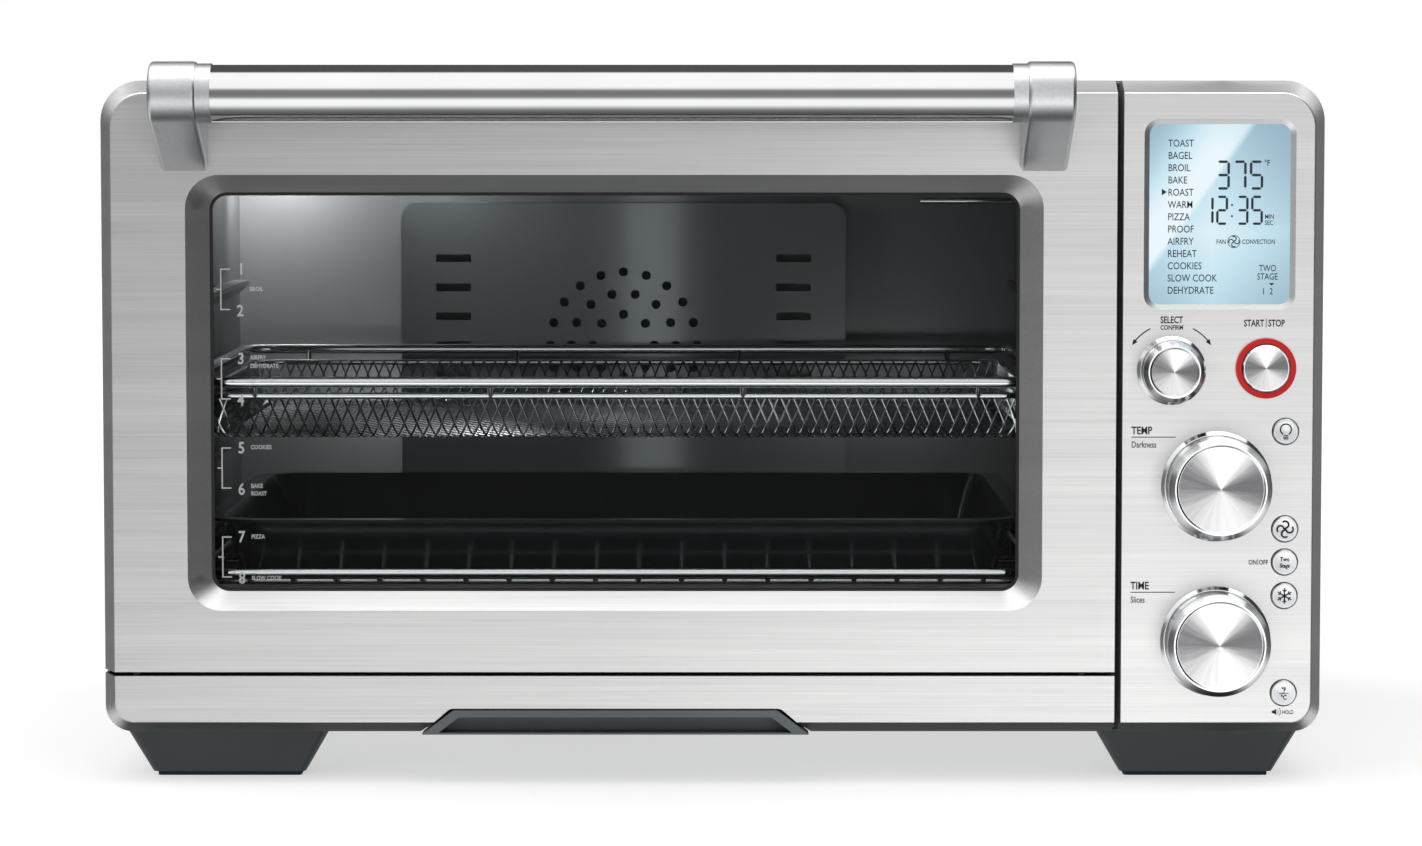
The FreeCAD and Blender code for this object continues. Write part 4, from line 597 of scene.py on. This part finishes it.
def fan_mark(x, z, r, hub=0.16):
    """Four swept blades round a hub: each blade is an arc band turned by a quarter."""
    shapes = [disc(x, z, hub * r, 12)]
    for i in range(4):
        turn = math.radians(90 * i)
        cx = x + 0.52 * r * math.cos(turn)
        cz = z + 0.52 * r * math.sin(turn)
        start = 90 * i - 170
        shapes.append(band(arc_points(cx, cz, 0.40 * r, start, start + 215, 16), 0.20 * r))
    return shapes


def snow_mark(x, z, r):
    """Three crossed bars with a pair of short twigs near each tip."""
    shapes = []
    for i in range(6):
        turn = math.radians(60 * i + 30)
        along = np.array([math.cos(turn), math.sin(turn)])
        start = np.array([x, z])
        shapes.append(band([start, start + along * 0.45 * r, start + along * 0.9 * r], 0.13 * r))
        for side in (-1, 1):
            lean = turn + side * math.radians(50)
            twig = np.array([math.cos(lean), math.sin(lean)])
            root = start + along * 0.5 * r
            shapes.append(band([root, root + twig * 0.15 * r, root + twig * 0.3 * r], 0.10 * r))
    return shapes


def button_marks(finish):
    """The mark on each small button rides with its own key."""
    marks = {"light": bulb_mark, "fan": fan_mark, "frozen": snow_mark}
    for key, mark in marks.items():
        x, z = centre(key + "_button")
        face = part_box(key + "_button")[0][1]
        print_on(key + "_mark", mark(x, z, BUTTON_MARK), [], face - PRINT_LIFT, key + "_key", finish)
    x, z = centre("stage_button")
    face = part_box("stage_button")[0][1]
    words = [
        ("Two", x, z + 0.5 * MM, BUTTON_WORD, 0.85, 0.5, BOLD),
        ("Stage", x, z - 2.3 * MM, BUTTON_WORD, 0.80, 0.5, BOLD),
    ]
    print_on("stage_mark", [], words, face - PRINT_LIFT, "stage_key", finish)
    x, z = centre("units_button")
    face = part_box("units_button")[0][1]
    words = [
        ("°F", x, z + 0.6 * MM, UNIT_WORD, 0.85, 0.5, BOLD),
        ("°C", x, z - 2.8 * MM, UNIT_WORD, 0.85, 0.5, BOLD),
    ]
    rule = bar(x - 2.2 * MM, x + 2.2 * MM, z - 0.15 * MM, z + 0.1 * MM)
    print_on("units_mark", [rule], words, face - PRINT_LIFT, "units_key", finish)


# ---- Display -----------------------------------------------------------------------------------
DIGIT_HEIGHT = 13.0 * MM
LIST_ROW = 5.44 * MM  # from one line of the list to the next
SEGMENTS = {
    "0": "abcdef", "1": "bc", "2": "abged", "3": "abgcd", "5": "afgcd", "7": "abc",
}


def seven_segment(digit, x, z, width, height, stroke):
    """A seven-segment digit: each lit segment is a bar with pointed ends."""
    gap = stroke * 0.16
    half = stroke / 2
    mid = z + height / 2
    right = x + width
    top = z + height

    def across(cz):
        x0, x1 = x + half + gap, right - half - gap
        upper = [(x0, cz), (x0 + half, cz + half), (x1 - half, cz + half), (x1, cz)]
        return upper + [(x1 - half, cz - half), (x0 + half, cz - half)]

    def upright(cx, z0, z1):
        z0, z1 = z0 + half + gap, z1 - half - gap
        right_side = [(cx, z0), (cx + half, z0 + half), (cx + half, z1 - half), (cx, z1)]
        return right_side + [(cx - half, z1 - half), (cx - half, z0 + half)]

    places = {
        "a": across(top - half),
        "b": upright(right - half, mid - half, top),
        "c": upright(right - half, z, mid + half),
        "d": across(z + half),
        "e": upright(x + half, z, mid + half),
        "f": upright(x + half, mid - half, top),
        "g": across(mid),
    }
    return [places[name] for name in SEGMENTS[digit]]


def digits(text, x, z, height, width, pitch, stroke):
    """A row of seven-segment digits; a colon takes half a place."""
    shapes = []
    for character in text:
        if character == ":":
            for part in (0.3, 0.68):
                shapes.append(disc(x + 0.1 * pitch, z + height * part, stroke * 0.45, 10))
            x += pitch * 0.42
            continue
        shapes += seven_segment(character, x, z, width, height, stroke)
        x += pitch
    return shapes


FUNCTIONS = (
    "TOAST", "BAGEL", "BROIL", "BAKE", "ROAST", "WARM", "PIZZA", "PROOF", "AIRFRY", "REHEAT",
    "COOKIES", "SLOW COOK", "DEHYDRATE",
)
CHOSEN = 4


def display_printing(finish):
    """Everything the display shows, in front of its lit window."""
    left = DISPLAY[0][0] + WINDOW_LAP
    right = DISPLAY[1][0] - WINDOW_LAP
    top = DISPLAY[1][2] - WINDOW_LAP
    words = []
    for i, name in enumerate(FUNCTIONS):
        words.append((name, left + 8.1 * MM, top - 9.9 * MM - i * LIST_ROW, 3.3 * MM, 0.80, 0, LIGHT))
    arrow_z = top - 8.25 * MM - CHOSEN * LIST_ROW
    arrow_x = left + 5.4 * MM
    half = 1.5 * MM
    shapes = [[(arrow_x, arrow_z - half), (arrow_x + 2.3 * MM, arrow_z), (arrow_x, arrow_z + half)]]
    shapes += digits(
        "375", right - 32.8 * MM, top - 29.0 * MM, DIGIT_HEIGHT, 6.0 * MM, 7.4 * MM, 1.15 * MM
    )
    shapes += digits(
        "12:35", right - 39.2 * MM, top - 44.6 * MM, DIGIT_HEIGHT, 5.3 * MM, 6.4 * MM, 1.1 * MM
    )
    words.append(("°F", right - 11.6 * MM, top - 18.3 * MM, 2.6 * MM, 0.85, 0, MEDIUM))
    words.append(("MIN", right - 11.2 * MM, top - 41.9 * MM, 2.1 * MM, 0.80, 0, MEDIUM))
    words.append(("SEC", right - 11.2 * MM, top - 44.6 * MM, 2.1 * MM, 0.80, 0, MEDIUM))
    fan_x = right - 24.8 * MM
    fan_z = top - 52.0 * MM
    words.append(("FAN", fan_x - 3.6 * MM, fan_z - 1.05 * MM, 2.1 * MM, 0.80, 1, MEDIUM))
    words.append(("CONVECTION", fan_x + 3.6 * MM, fan_z - 1.05 * MM, 2.1 * MM, 0.78, 0, MEDIUM))
    shapes += fan_mark(fan_x, fan_z, 2.5 * MM)
    shapes.append(band(arc_points(fan_x, fan_z, 2.75 * MM, 0, 360, 30), 0.3 * MM))
    stage_x = right - 9.8 * MM
    words.append(("TWO", stage_x, top - 65.2 * MM, 3.0 * MM, 0.76, 0.5, LIGHT))
    words.append(("STAGE", stage_x, top - 68.9 * MM, 3.0 * MM, 0.76, 0.5, LIGHT))
    pointer = top - 71.6 * MM
    top_edge = pointer + 1.2 * MM
    tip_x = stage_x + 1.9 * MM
    shapes.append([(tip_x - 1.3 * MM, top_edge), (tip_x + 1.3 * MM, top_edge), (tip_x, pointer)])
    words.append(("1  2", stage_x, top - 75.4 * MM, 2.9 * MM, 0.80, 0.5, LIGHT))
    y = DISPLAY[0][1] - PRINT_LIFT
    return print_on("display_printing", shapes, words, y, "cabinet", finish)


# ---- Rack guide printed on the glass -----------------------------------------------------------
LOWEST_BRACKET = 13.8 * MM  # middle of the lowest bracket above the bottom edge of the glass
BRACKET_PITCH = 40.0 * MM
GUIDE_NOTES = {
    1: [("BROIL", -10.0)],
    3: [("AIRFRY", -0.6), ("DEHYDRATE", -4.4)],
    5: [("COOKIES", -0.8)],
    6: [("BAKE", 0.4), ("ROAST", -3.0)],
    7: [("PIZZA", -1.0)],
    8: [("SLOW COOK", -1.0)],
}


def glass_printing(finish):
    """Four brackets, one for each pair of rack places, with their numbers and notes."""
    left = GLASS[0][0] + GLASS_LAP
    line = 0.62 * MM
    reach = 9.3 * MM
    shapes = []
    words = []
    for pair in range(4):
        level = GLASS[0][2] + GLASS_LAP + LOWEST_BRACKET + (3 - pair) * BRACKET_PITCH
        x0 = left + 3.0 * MM
        x1 = left + 7.4 * MM
        shapes.append(bar(x0, x0 + line, level - reach, level + reach))
        shapes.append(bar(x0 + line, x1, level + reach - line, level + reach))
        shapes.append(bar(x0 + line, x1, level - reach, level - reach + line))
        shapes.append(bar(left + 1.2 * MM, x0, level - line / 2, level + line / 2))
        for step, sign in ((1, 1), (2, -1)):
            number = pair * 2 + step
            z = level + sign * reach
            words.append((str(number), left + 11.9 * MM, z - 2.6 * MM, 5.2 * MM, 0.85, 0.5, 0.020))
            for note, lift in GUIDE_NOTES.get(number, []):
                words.append((note, left + 16.2 * MM, z + lift * MM, 1.9 * MM, 0.85, 0, BOLD))
    y = GLASS[0][1] - PRINT_LIFT
    return print_on("rack_guide_printing", shapes, words, y, "door", finish)


# ---- Basket of expanded mesh -------------------------------------------------------------------
DIAMOND_WIDE = 5.7 * MM
DIAMOND_TALL = 13.5 * MM
STRAND_HALF_WIDTH = 0.42 * MM
STRAND_HALF_THICK = 0.30 * MM
BASKET_BEND = 7.0 * MM  # radius of the curl from wall to bottom
BASKET_CORNER = 14.0 * MM
BASKET_LEAN = 0.10  # how far the walls lean in, for each metre down
CURL_PAST = 1.0 * MM  # the walls' strands run on under the bottom
FLOOR_INSET = 9.5 * MM
SHORTEST_STRAND = 4.0 * MM


def round_rectangle(distance, half_x, half_y, corner):
    """Points and outward normals at a distance along a rounded rectangle, both arrays.

    The walk starts at the middle of the front side and goes round through +X.  On a straight run
    the point moves along it; on a corner it is the corner's centre plus radius times the normal.
    """
    run_x = half_x - corner
    run_y = half_y - corner
    bend = corner * math.pi / 2
    lengths = np.array([run_x, bend, 2 * run_y, bend, 2 * run_x, bend, 2 * run_y, bend, run_x])
    edges = np.concatenate([[0.0], np.cumsum(lengths)])
    d = np.mod(distance, edges[-1])
    part = np.clip(np.searchsorted(edges, d, side="right") - 1, 0, 8)
    along = d - edges[part]
    quarter = np.array([0, 0, 1, 1, 2, 2, 3, 3, 4])[part]
    is_corner = part % 2 == 1
    turned = np.where(is_corner, along / corner, 0.0)
    angle = -math.pi / 2 + (quarter + turned / (math.pi / 2)) * math.pi / 2
    centres_x = np.array([run_x, run_x, run_x, run_x, run_x, -run_x, -run_x, -run_x, -run_x])[part]
    centres_y = np.array([-run_y, -run_y, -run_y, run_y, run_y, run_y, run_y, -run_y, -run_y])[part]
    normal = np.stack([np.cos(angle), np.sin(angle)], axis=-1)
    starts_x = np.array([0, 0, half_x, 0, run_x, 0, -half_x, 0, -run_x])[part]
    starts_y = np.array([-half_y, 0, -run_y, 0, half_y, 0, run_y, 0, -half_y])[part]
    heading_x = np.array([1, 0, 0, 0, -1, 0, 0, 0, 1])[part]
    heading_y = np.array([0, 0, 1, 0, 0, 0, -1, 0, 0])[part]
    straight = np.stack([starts_x + heading_x * along, starts_y + heading_y * along], axis=-1)
    turned = np.stack([centres_x, centres_y], axis=-1) + normal * corner
    return np.where(is_corner[..., None], turned, straight), normal


def basket_walls(low, high):
    """Strands that cross down the walls and curl under.

    A strand's distance round the basket is its start plus or minus the mesh slope times the depth
    v; the wall's section is a gentle lean, then a quarter turn of radius BASKET_BEND inwards.
    """
    bend = BASKET_BEND
    corner = BASKET_CORNER
    depth = high[2] - low[2] - bend
    under = bend * math.pi / 2 + CURL_PAST
    half_x = (high[0] - low[0]) / 2
    half_y = (high[1] - low[1]) / 2
    around = 4 * (half_x + half_y - 2 * corner) + 2 * math.pi * corner
    count = int(round(around / DIAMOND_WIDE))
    v = np.linspace(0, depth + under, 12)
    slope = DIAMOND_WIDE / DIAMOND_TALL
    starts = np.arange(count) * around / count
    runs = np.concatenate([starts[:, None] + v * slope, starts[:, None] - v * slope])
    plan, normal = round_rectangle(runs, half_x, half_y, corner)
    turn = np.clip((v - depth) / bend, 0, math.pi / 2)
    past_bend = np.maximum(v - depth - bend * math.pi / 2, 0)
    inward = np.minimum(v, depth) * BASKET_LEAN + bend * (1 - np.cos(turn)) + past_bend
    drop = np.minimum(v, depth) + bend * np.sin(turn)
    centre_xy = np.array([(low[0] + high[0]) / 2, (low[1] + high[1]) / 2])
    xy = plan - normal * inward[None, :, None] + centre_xy
    z = np.broadcast_to(high[2] - drop, xy.shape[:2])
    paths = np.concatenate([xy, z[..., None]], axis=2)
    tilt = np.broadcast_to(turn, xy.shape[:2])[..., None]
    normals = np.concatenate([normal * np.cos(tilt), -np.sin(tilt)], axis=2)
    return paths, normals


def basket_floor(low, high):
    """Strands across the bottom: lines x = start plus or minus slope times y, cut to size."""
    x0, x1 = low[0] + FLOOR_INSET, high[0] - FLOOR_INSET
    y0, y1 = low[1] + FLOOR_INSET, high[1] - FLOOR_INSET
    slope = DIAMOND_WIDE / DIAMOND_TALL
    reach = (y1 - y0) * slope
    starts = np.arange(x0 - reach, x1 + reach, DIAMOND_WIDE)
    paths = []
    for side in (-1, 1):
        enter = np.clip(side * (x0 - starts) / slope, 0, y1 - y0)
        leave = np.clip(side * (x1 - starts) / slope, 0, y1 - y0)
        near, far = np.minimum(enter, leave), np.maximum(enter, leave)
        keep = far - near > SHORTEST_STRAND
        t = near[keep, None] + (far - near)[keep, None] * np.linspace(0, 1, 3)
        x = starts[keep, None] + side * slope * t
        z = np.full_like(x, low[2] + STRAND_HALF_THICK)
        paths.append(np.stack([x, y0 + t, z], axis=2))
    paths = np.concatenate(paths)
    normals = np.broadcast_to(np.array([0.0, 0.0, -1.0]), paths.shape)
    return paths, normals


def mesh_basket(finish):
    """The basket's walls and bottom as one piece, in place of the plain tray."""
    low, high = (np.array(corner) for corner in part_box("basket_mesh"))
    strands = (basket_walls(low, high), basket_floor(low, high))
    parts = [strand_mesh(*paths, STRAND_HALF_WIDTH, STRAND_HALF_THICK) for paths in strands]
    shift = len(parts[0][0])
    points = np.concatenate([parts[0][0], parts[1][0]])
    faces = np.concatenate([parts[0][1], parts[1][1] + shift])
    made = piece("basket_expanded_mesh", points, faces, "basket", finish)
    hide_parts("basket_mesh")
    return made


# ---- Finish for every part ---------------------------------------------------------------------
def slot_finishes():
    """One finish for each material slot of the record."""
    return {
        "brushed_steel": brushed("brushed_sheet", (0.66, 0.66, 0.655), (0.52, 0.52, 0.52), 0.38),
        "satin_steel": satin_metal("satin_casting", (0.60, 0.61, 0.62), (0.48, 0.49, 0.50)),
        "spun_steel": satin_metal("turned_blank", (0.58, 0.59, 0.60), (0.48, 0.49, 0.50), 0.28),
        "chrome_wire": polished("chrome_wire", (0.86, 0.87, 0.88)),
        "polished_bar": polished("polished_tube", (0.88, 0.885, 0.89), 0.08),
        "cavity_enamel": enamel("cavity_enamel", (0.090, 0.092, 0.094), (0.120, 0.123, 0.126), 0.32),
        "pan_enamel": enamel("pan_enamel", (0.006, 0.006, 0.007), (0.012, 0.012, 0.013), 0.13, 220.0),
        "black_frame": moulded("black_frame_coat", (0.014, 0.014, 0.015), 0.4),
        "galvanised": satin_metal("galvanised_sheet", (0.55, 0.56, 0.57), (0.38, 0.40, 0.41), 0.42, 220.0),
        "window_glass": clear_pane("oven_glass", (0.960, 0.966, 0.968), 0.15),
        "lens_glass": frosted("lamp_glass", (0.9, 0.88, 0.82)),
        "quartz": frosted("quartz_tube", (0.75, 0.73, 0.70), 0.25),
        "ceramic": frosted("ceramic_holder", (0.72, 0.70, 0.66), 0.6),
        "seal_rubber": moulded("seal_rubber", (0.010, 0.010, 0.010), 0.6),
        "pad_rubber": moulded("pad_rubber", (0.015, 0.016, 0.017), 0.7),
        "slate_plastic": moulded("slate_plastic", (0.024, 0.033, 0.038), 0.42),
        "display_glass": lit_display("lit_display"),
        "black_plastic": moulded("black_plastic", (0.02, 0.02, 0.02), 0.5),
        "board_green": moulded("board_green", (0.02, 0.11, 0.05), 0.4),
        "red_ring": moulded("red_ring", (0.60, 0.010, 0.012), 0.25),
        "motor_metal": satin_metal("motor_can", (0.34, 0.35, 0.36), (0.22, 0.23, 0.24), 0.4),
        "aluminium_tray": satin_metal("aluminium_tray", (0.66, 0.66, 0.66), (0.52, 0.52, 0.53), 0.36),
    }


# Colours of the painted highlight and painted reflection wedges on the turned knob faces.
PAINTED_HIGHLIGHT = (0.72, 0.72, 0.725)
PAINTED_DARK_REFLECTION = (0.13, 0.13, 0.135)


def node_finishes():
    """Parts whose finish differs from the rest of their slot."""
    # painted light: the panel gets a slightly lighter copy of the door's brushed sheet, standing in for the
    # brighter reflection it catches
    lighter_panel_copy = brushed("panel_sheet", (0.68, 0.68, 0.675), (0.56, 0.56, 0.56), 0.38)
    finishes = {
        "control_panel": lighter_panel_copy,
        "convection_fan": satin_metal("fan_blades", (0.12, 0.125, 0.13), (0.08, 0.085, 0.09), 0.5),
        "crumb_tray_handle": moulded("slate_grip", (0.055, 0.068, 0.074), 0.42),
    }
    # Each knob's face radius, rim radius and the turn of its painted highlight wedges.
    turned = {
        "temp_knob": (0.0190, 0.0232, -1.5), "time_knob": (0.0190, 0.0232, -1.7),
        "select_knob": (0.0105, 0.0140, -1.3), "start_stop_button": (0.0098, 0.0112, -1.8),
    }
    for node, (face, rim, turn) in turned.items():
        finishes[node] = spun(node + "_face", node, PAINTED_HIGHLIGHT, PAINTED_DARK_REFLECTION, face, rim, turn)
    return finishes


def give_finishes():
    """Every node gets its own finish, or else that of its slot."""
    by_slot = slot_finishes()
    special = node_finishes()
    for part in frame["record"]["subparts"]:
        node = part["node"]
        mesh = NODES[node].data
        mesh.materials.clear()
        mesh.materials.append(special.get(node) or by_slot[part["material_slot"]])
    return by_slot


by_slot = give_finishes()
black_ink = ink("black_print", (0.012, 0.012, 0.013))
display_ink = ink("display_ink", (0.020, 0.030, 0.045))
grey_ink = ink("rack_guide_ink", (0.42, 0.43, 0.44))
panel_printing(black_ink)
button_marks(black_ink)
display_printing(display_ink)
glass_printing(grey_ink)
mesh_basket(by_slot["chrome_wire"])


# ---- Floor and light ---------------------------------------------------------------------------
def pale_floor():
    """A wide flat sheet, slightly satin, that glows a little more away from the oven."""
    side = np.linspace(-6.0, 6.0, 13)
    x, y = np.meshgrid(side, side)
    points = np.stack([x, y, np.zeros_like(x)], axis=2).reshape(-1, 3)
    index = np.arange(169).reshape(13, 13)
    corners = [index[:-1, :-1], index[:-1, 1:], index[1:, 1:], index[1:, :-1]]
    faces = np.stack(corners, axis=2).reshape(-1, 4)
    mesh = bpy.data.meshes.new("floor")
    mesh.from_pydata(points.tolist(), [], faces.tolist())
    f = Finish("pale_floor")
    cloud = f.noise(3.0, 2.0)
    tone = f.blend(cloud.over(0.3, 0.7), (0.90, 0.90, 0.90), (0.93, 0.93, 0.93))
    x, y, _ = f.axes()
    far = ((x * x + y * y) ** 0.5).over(0.5, 2.2)
    glow = f.blend(far, (0.54, 0.54, 0.54), (0.80, 0.80, 0.80))
    sheet = f.principled(
        Base_Color=tone, Roughness=0.20 + cloud * 0.04, Emission_Color=glow, Emission_Strength=1.0
    )
    mesh.materials.append(f.done(sheet))
    floor = bpy.data.objects.new("floor", mesh)
    floor.visible_glossy = False
    bpy.context.scene.collection.objects.link(floor)


def soft_box(name, place, aim, size, power, shade=(1.0, 1.0, 1.0)):
    """A rectangular lamp pointing at a place; the camera doesn't see it."""
    light = bpy.data.lights.new(name, "AREA")
    light.shape = "RECTANGLE"
    light.size, light.size_y = size
    light.energy = power
    light.color = shade
    lamp = bpy.data.objects.new(name, light)
    lamp.location = place
    lamp.rotation_euler = (Vector(aim) - Vector(place)).to_track_quat("-Z", "Y").to_euler()
    lamp.visible_camera = False
    bpy.context.scene.collection.objects.link(lamp)
    return lamp


ROOM_RAMP = [
    (0.00, (0.09, 0.09, 0.09)), (0.04, (0.25, 0.25, 0.25)), (0.13, (0.95, 0.95, 0.95)),
    (0.28, (1.0, 1.0, 1.0)), (0.38, (0.24, 0.24, 0.24)), (0.50, (0.17, 0.17, 0.17)),
    (0.61, (0.22, 0.22, 0.22)), (0.70, (0.95, 0.95, 0.95)), (0.80, (1.0, 1.0, 1.0)), (1.0, (1.0, 1.0, 1.0)),
]
# Soft cards round the oven that light its steel front alone: place, aim, size and power.
FRONT_PARTS = (
    "door_skin", "control_panel", "lower_front_panel", "front_frame", "temp_knob", "time_knob", "select_knob",
    "start_stop_button", "light_button", "fan_button", "frozen_button", "stage_button", "units_button",
    "crumb_tray_handle",
)
HANDLE_ENDS = ("handle_end_left", "handle_end_right")
WIRES = ("basket_frame", "basket_expanded_mesh", "wire_rack")
TOP_LIT = ("door_skin", "front_frame", "control_panel") + HANDLE_ENDS + WIRES
CARDS = {
    "front_card": ((0.0, -1.0, 0.05), (0.0, 0.0, 0.05), (1.2, 1.0), 1.6, FRONT_PARTS + HANDLE_ENDS + WIRES),
    "right_card": ((0.38, -1.0, 0.03), (0.38, 0.0, 0.03), (0.56, 1.0), 1.15, FRONT_PARTS + HANDLE_ENDS),
    "low_card": ((0.05, -1.0, -0.24), (0.05, 0.0, -0.24), (1.3, 0.60), 1.25, FRONT_PARTS + WIRES),
    "top_card": ((0.0, -0.27, 0.80), (0.0, -0.20, 0.0), (1.2, 0.35), 3.2, TOP_LIT),
}
# Small lamps inside the cavity: place, aim, size, power, shade and the parts they light.
NEUTRAL = (1.0, 1.0, 1.0)
COOL = (0.90, 0.98, 1.0)
SIDES = ("cavity_back", "cavity_left_wall")
BAFFLE = ("fan_grille", "cavity_back")
GLOWS = {
    "upper_glow": ((-0.225, 0.125, 0.286), (-0.23, 0.177, 0.262), (0.03, 0.02), 0.34, NEUTRAL, SIDES),
    "lower_glow": ((-0.18, 0.08, 0.150), (-0.19, 0.177, 0.125), (0.05, 0.02), 0.035, NEUTRAL, SIDES),
    "baffle_glow": ((-0.15, 0.03, 0.275), (-0.05, 0.16, 0.19), (0.05, 0.03), 0.10, COOL, BAFFLE),
    "band_glow": ((-0.032, 0.05, 0.180), (-0.032, 0.16, 0.180), (0.03, 0.17), 0.0022, COOL, BAFFLE),
    "right_glow": ((0.09, 0.03, 0.150), (0.07, 0.16, 0.135), (0.08, 0.02), 0.035, NEUTRAL, BAFFLE),
}


def studio():
    """A soft studio: plain white behind the oven, and round it a room that differs by direction.

    The room's brightness is a ramp over the height of the direction, darker at each side in front
    and darker behind the oven; the camera sees only plain white.
    """
    world = bpy.data.worlds.new("studio")
    bpy.context.scene.world = world
    room = Room(world)
    x, y, z = room.axes(room.node("ShaderNodeTexCoord", output="Generated"))
    height = room.ramp(z * 0.5 + 0.5, ROOM_RAMP)
    ahead = 1 - y.over(-0.1, 0.15)
    right = 1 - x.over(0.35, 0.7) * ahead * 0.96
    left = 1 - (0 - x).over(0.5, 0.85) * ahead * 0.15
    behind = 1 - y.over(-0.02, 0.14) * (1 - abs(x).over(0.3, 0.6)) * 0.92
    strength = right * left * behind * 1.1
    light = room.node("ShaderNodeBackground", None, {"Color": height, "Strength": strength})
    seen = room.node("ShaderNodeBackground", None, {"Color": (1.0, 1.0, 1.0, 1.0), "Strength": 1.0})
    ray = room.node("ShaderNodeLightPath", output="Is Camera Ray")
    room.done(room.node("ShaderNodeMixShader", None, {0: ray, 1: light, 2: seen}))
    overhead = soft_box("overhead", (0.0, 0.1, 1.7), (0.0, 0.1, 0.0), (3.2, 1.6), 16.0)
    only(overhead, ["handle_bar"], "EXCLUDE")
    for name, (place, aim, size, power, parts) in CARDS.items():
        only(soft_box(name, place, aim, size, power), parts, "INCLUDE")
    for name, (place, aim, size, power, shade, parts) in GLOWS.items():
        lamp = soft_box(name, place, aim, size, power, shade)
        only(lamp, parts, "INCLUDE")
    bpy.data.lights["band_glow"].spread = math.radians(30)


def only(lamp, names, state):
    """The lamp lights these parts alone, or all but these; the floor never stops its light."""
    group = bpy.data.collections.new(lamp.name + "_parts")
    for name in names:
        group.objects.link(NODES.get(name) or bpy.data.objects[name])
    for member in group.collection_objects:
        member.light_linking.link_state = state
    lamp.light_linking.receiver_collection = group
    stops = bpy.data.collections.new(lamp.name + "_stops")
    stops.objects.link(bpy.data.objects["floor"])
    for member in stops.collection_objects:
        member.light_linking.link_state = "EXCLUDE"
    lamp.light_linking.blocker_collection = stops


def camera():
    """A long lens at the height of the oven's top, looking straight at the front."""
    view = bpy.data.cameras.new("camera")
    view.lens = 114.0
    view.sensor_width = 36.0
    made = bpy.data.objects.new("camera", view)
    made.location = (-0.0007, -2.1685, 0.300)
    target = Vector((-0.0007, -0.1685, 0.1619))
    made.rotation_euler = (target - Vector(made.location)).to_track_quat("-Z", "Y").to_euler()
    bpy.context.scene.collection.objects.link(made)
    bpy.context.scene.camera = made


pale_floor()
studio()
camera()
bpy.context.scene.view_settings.view_transform = "Standard"
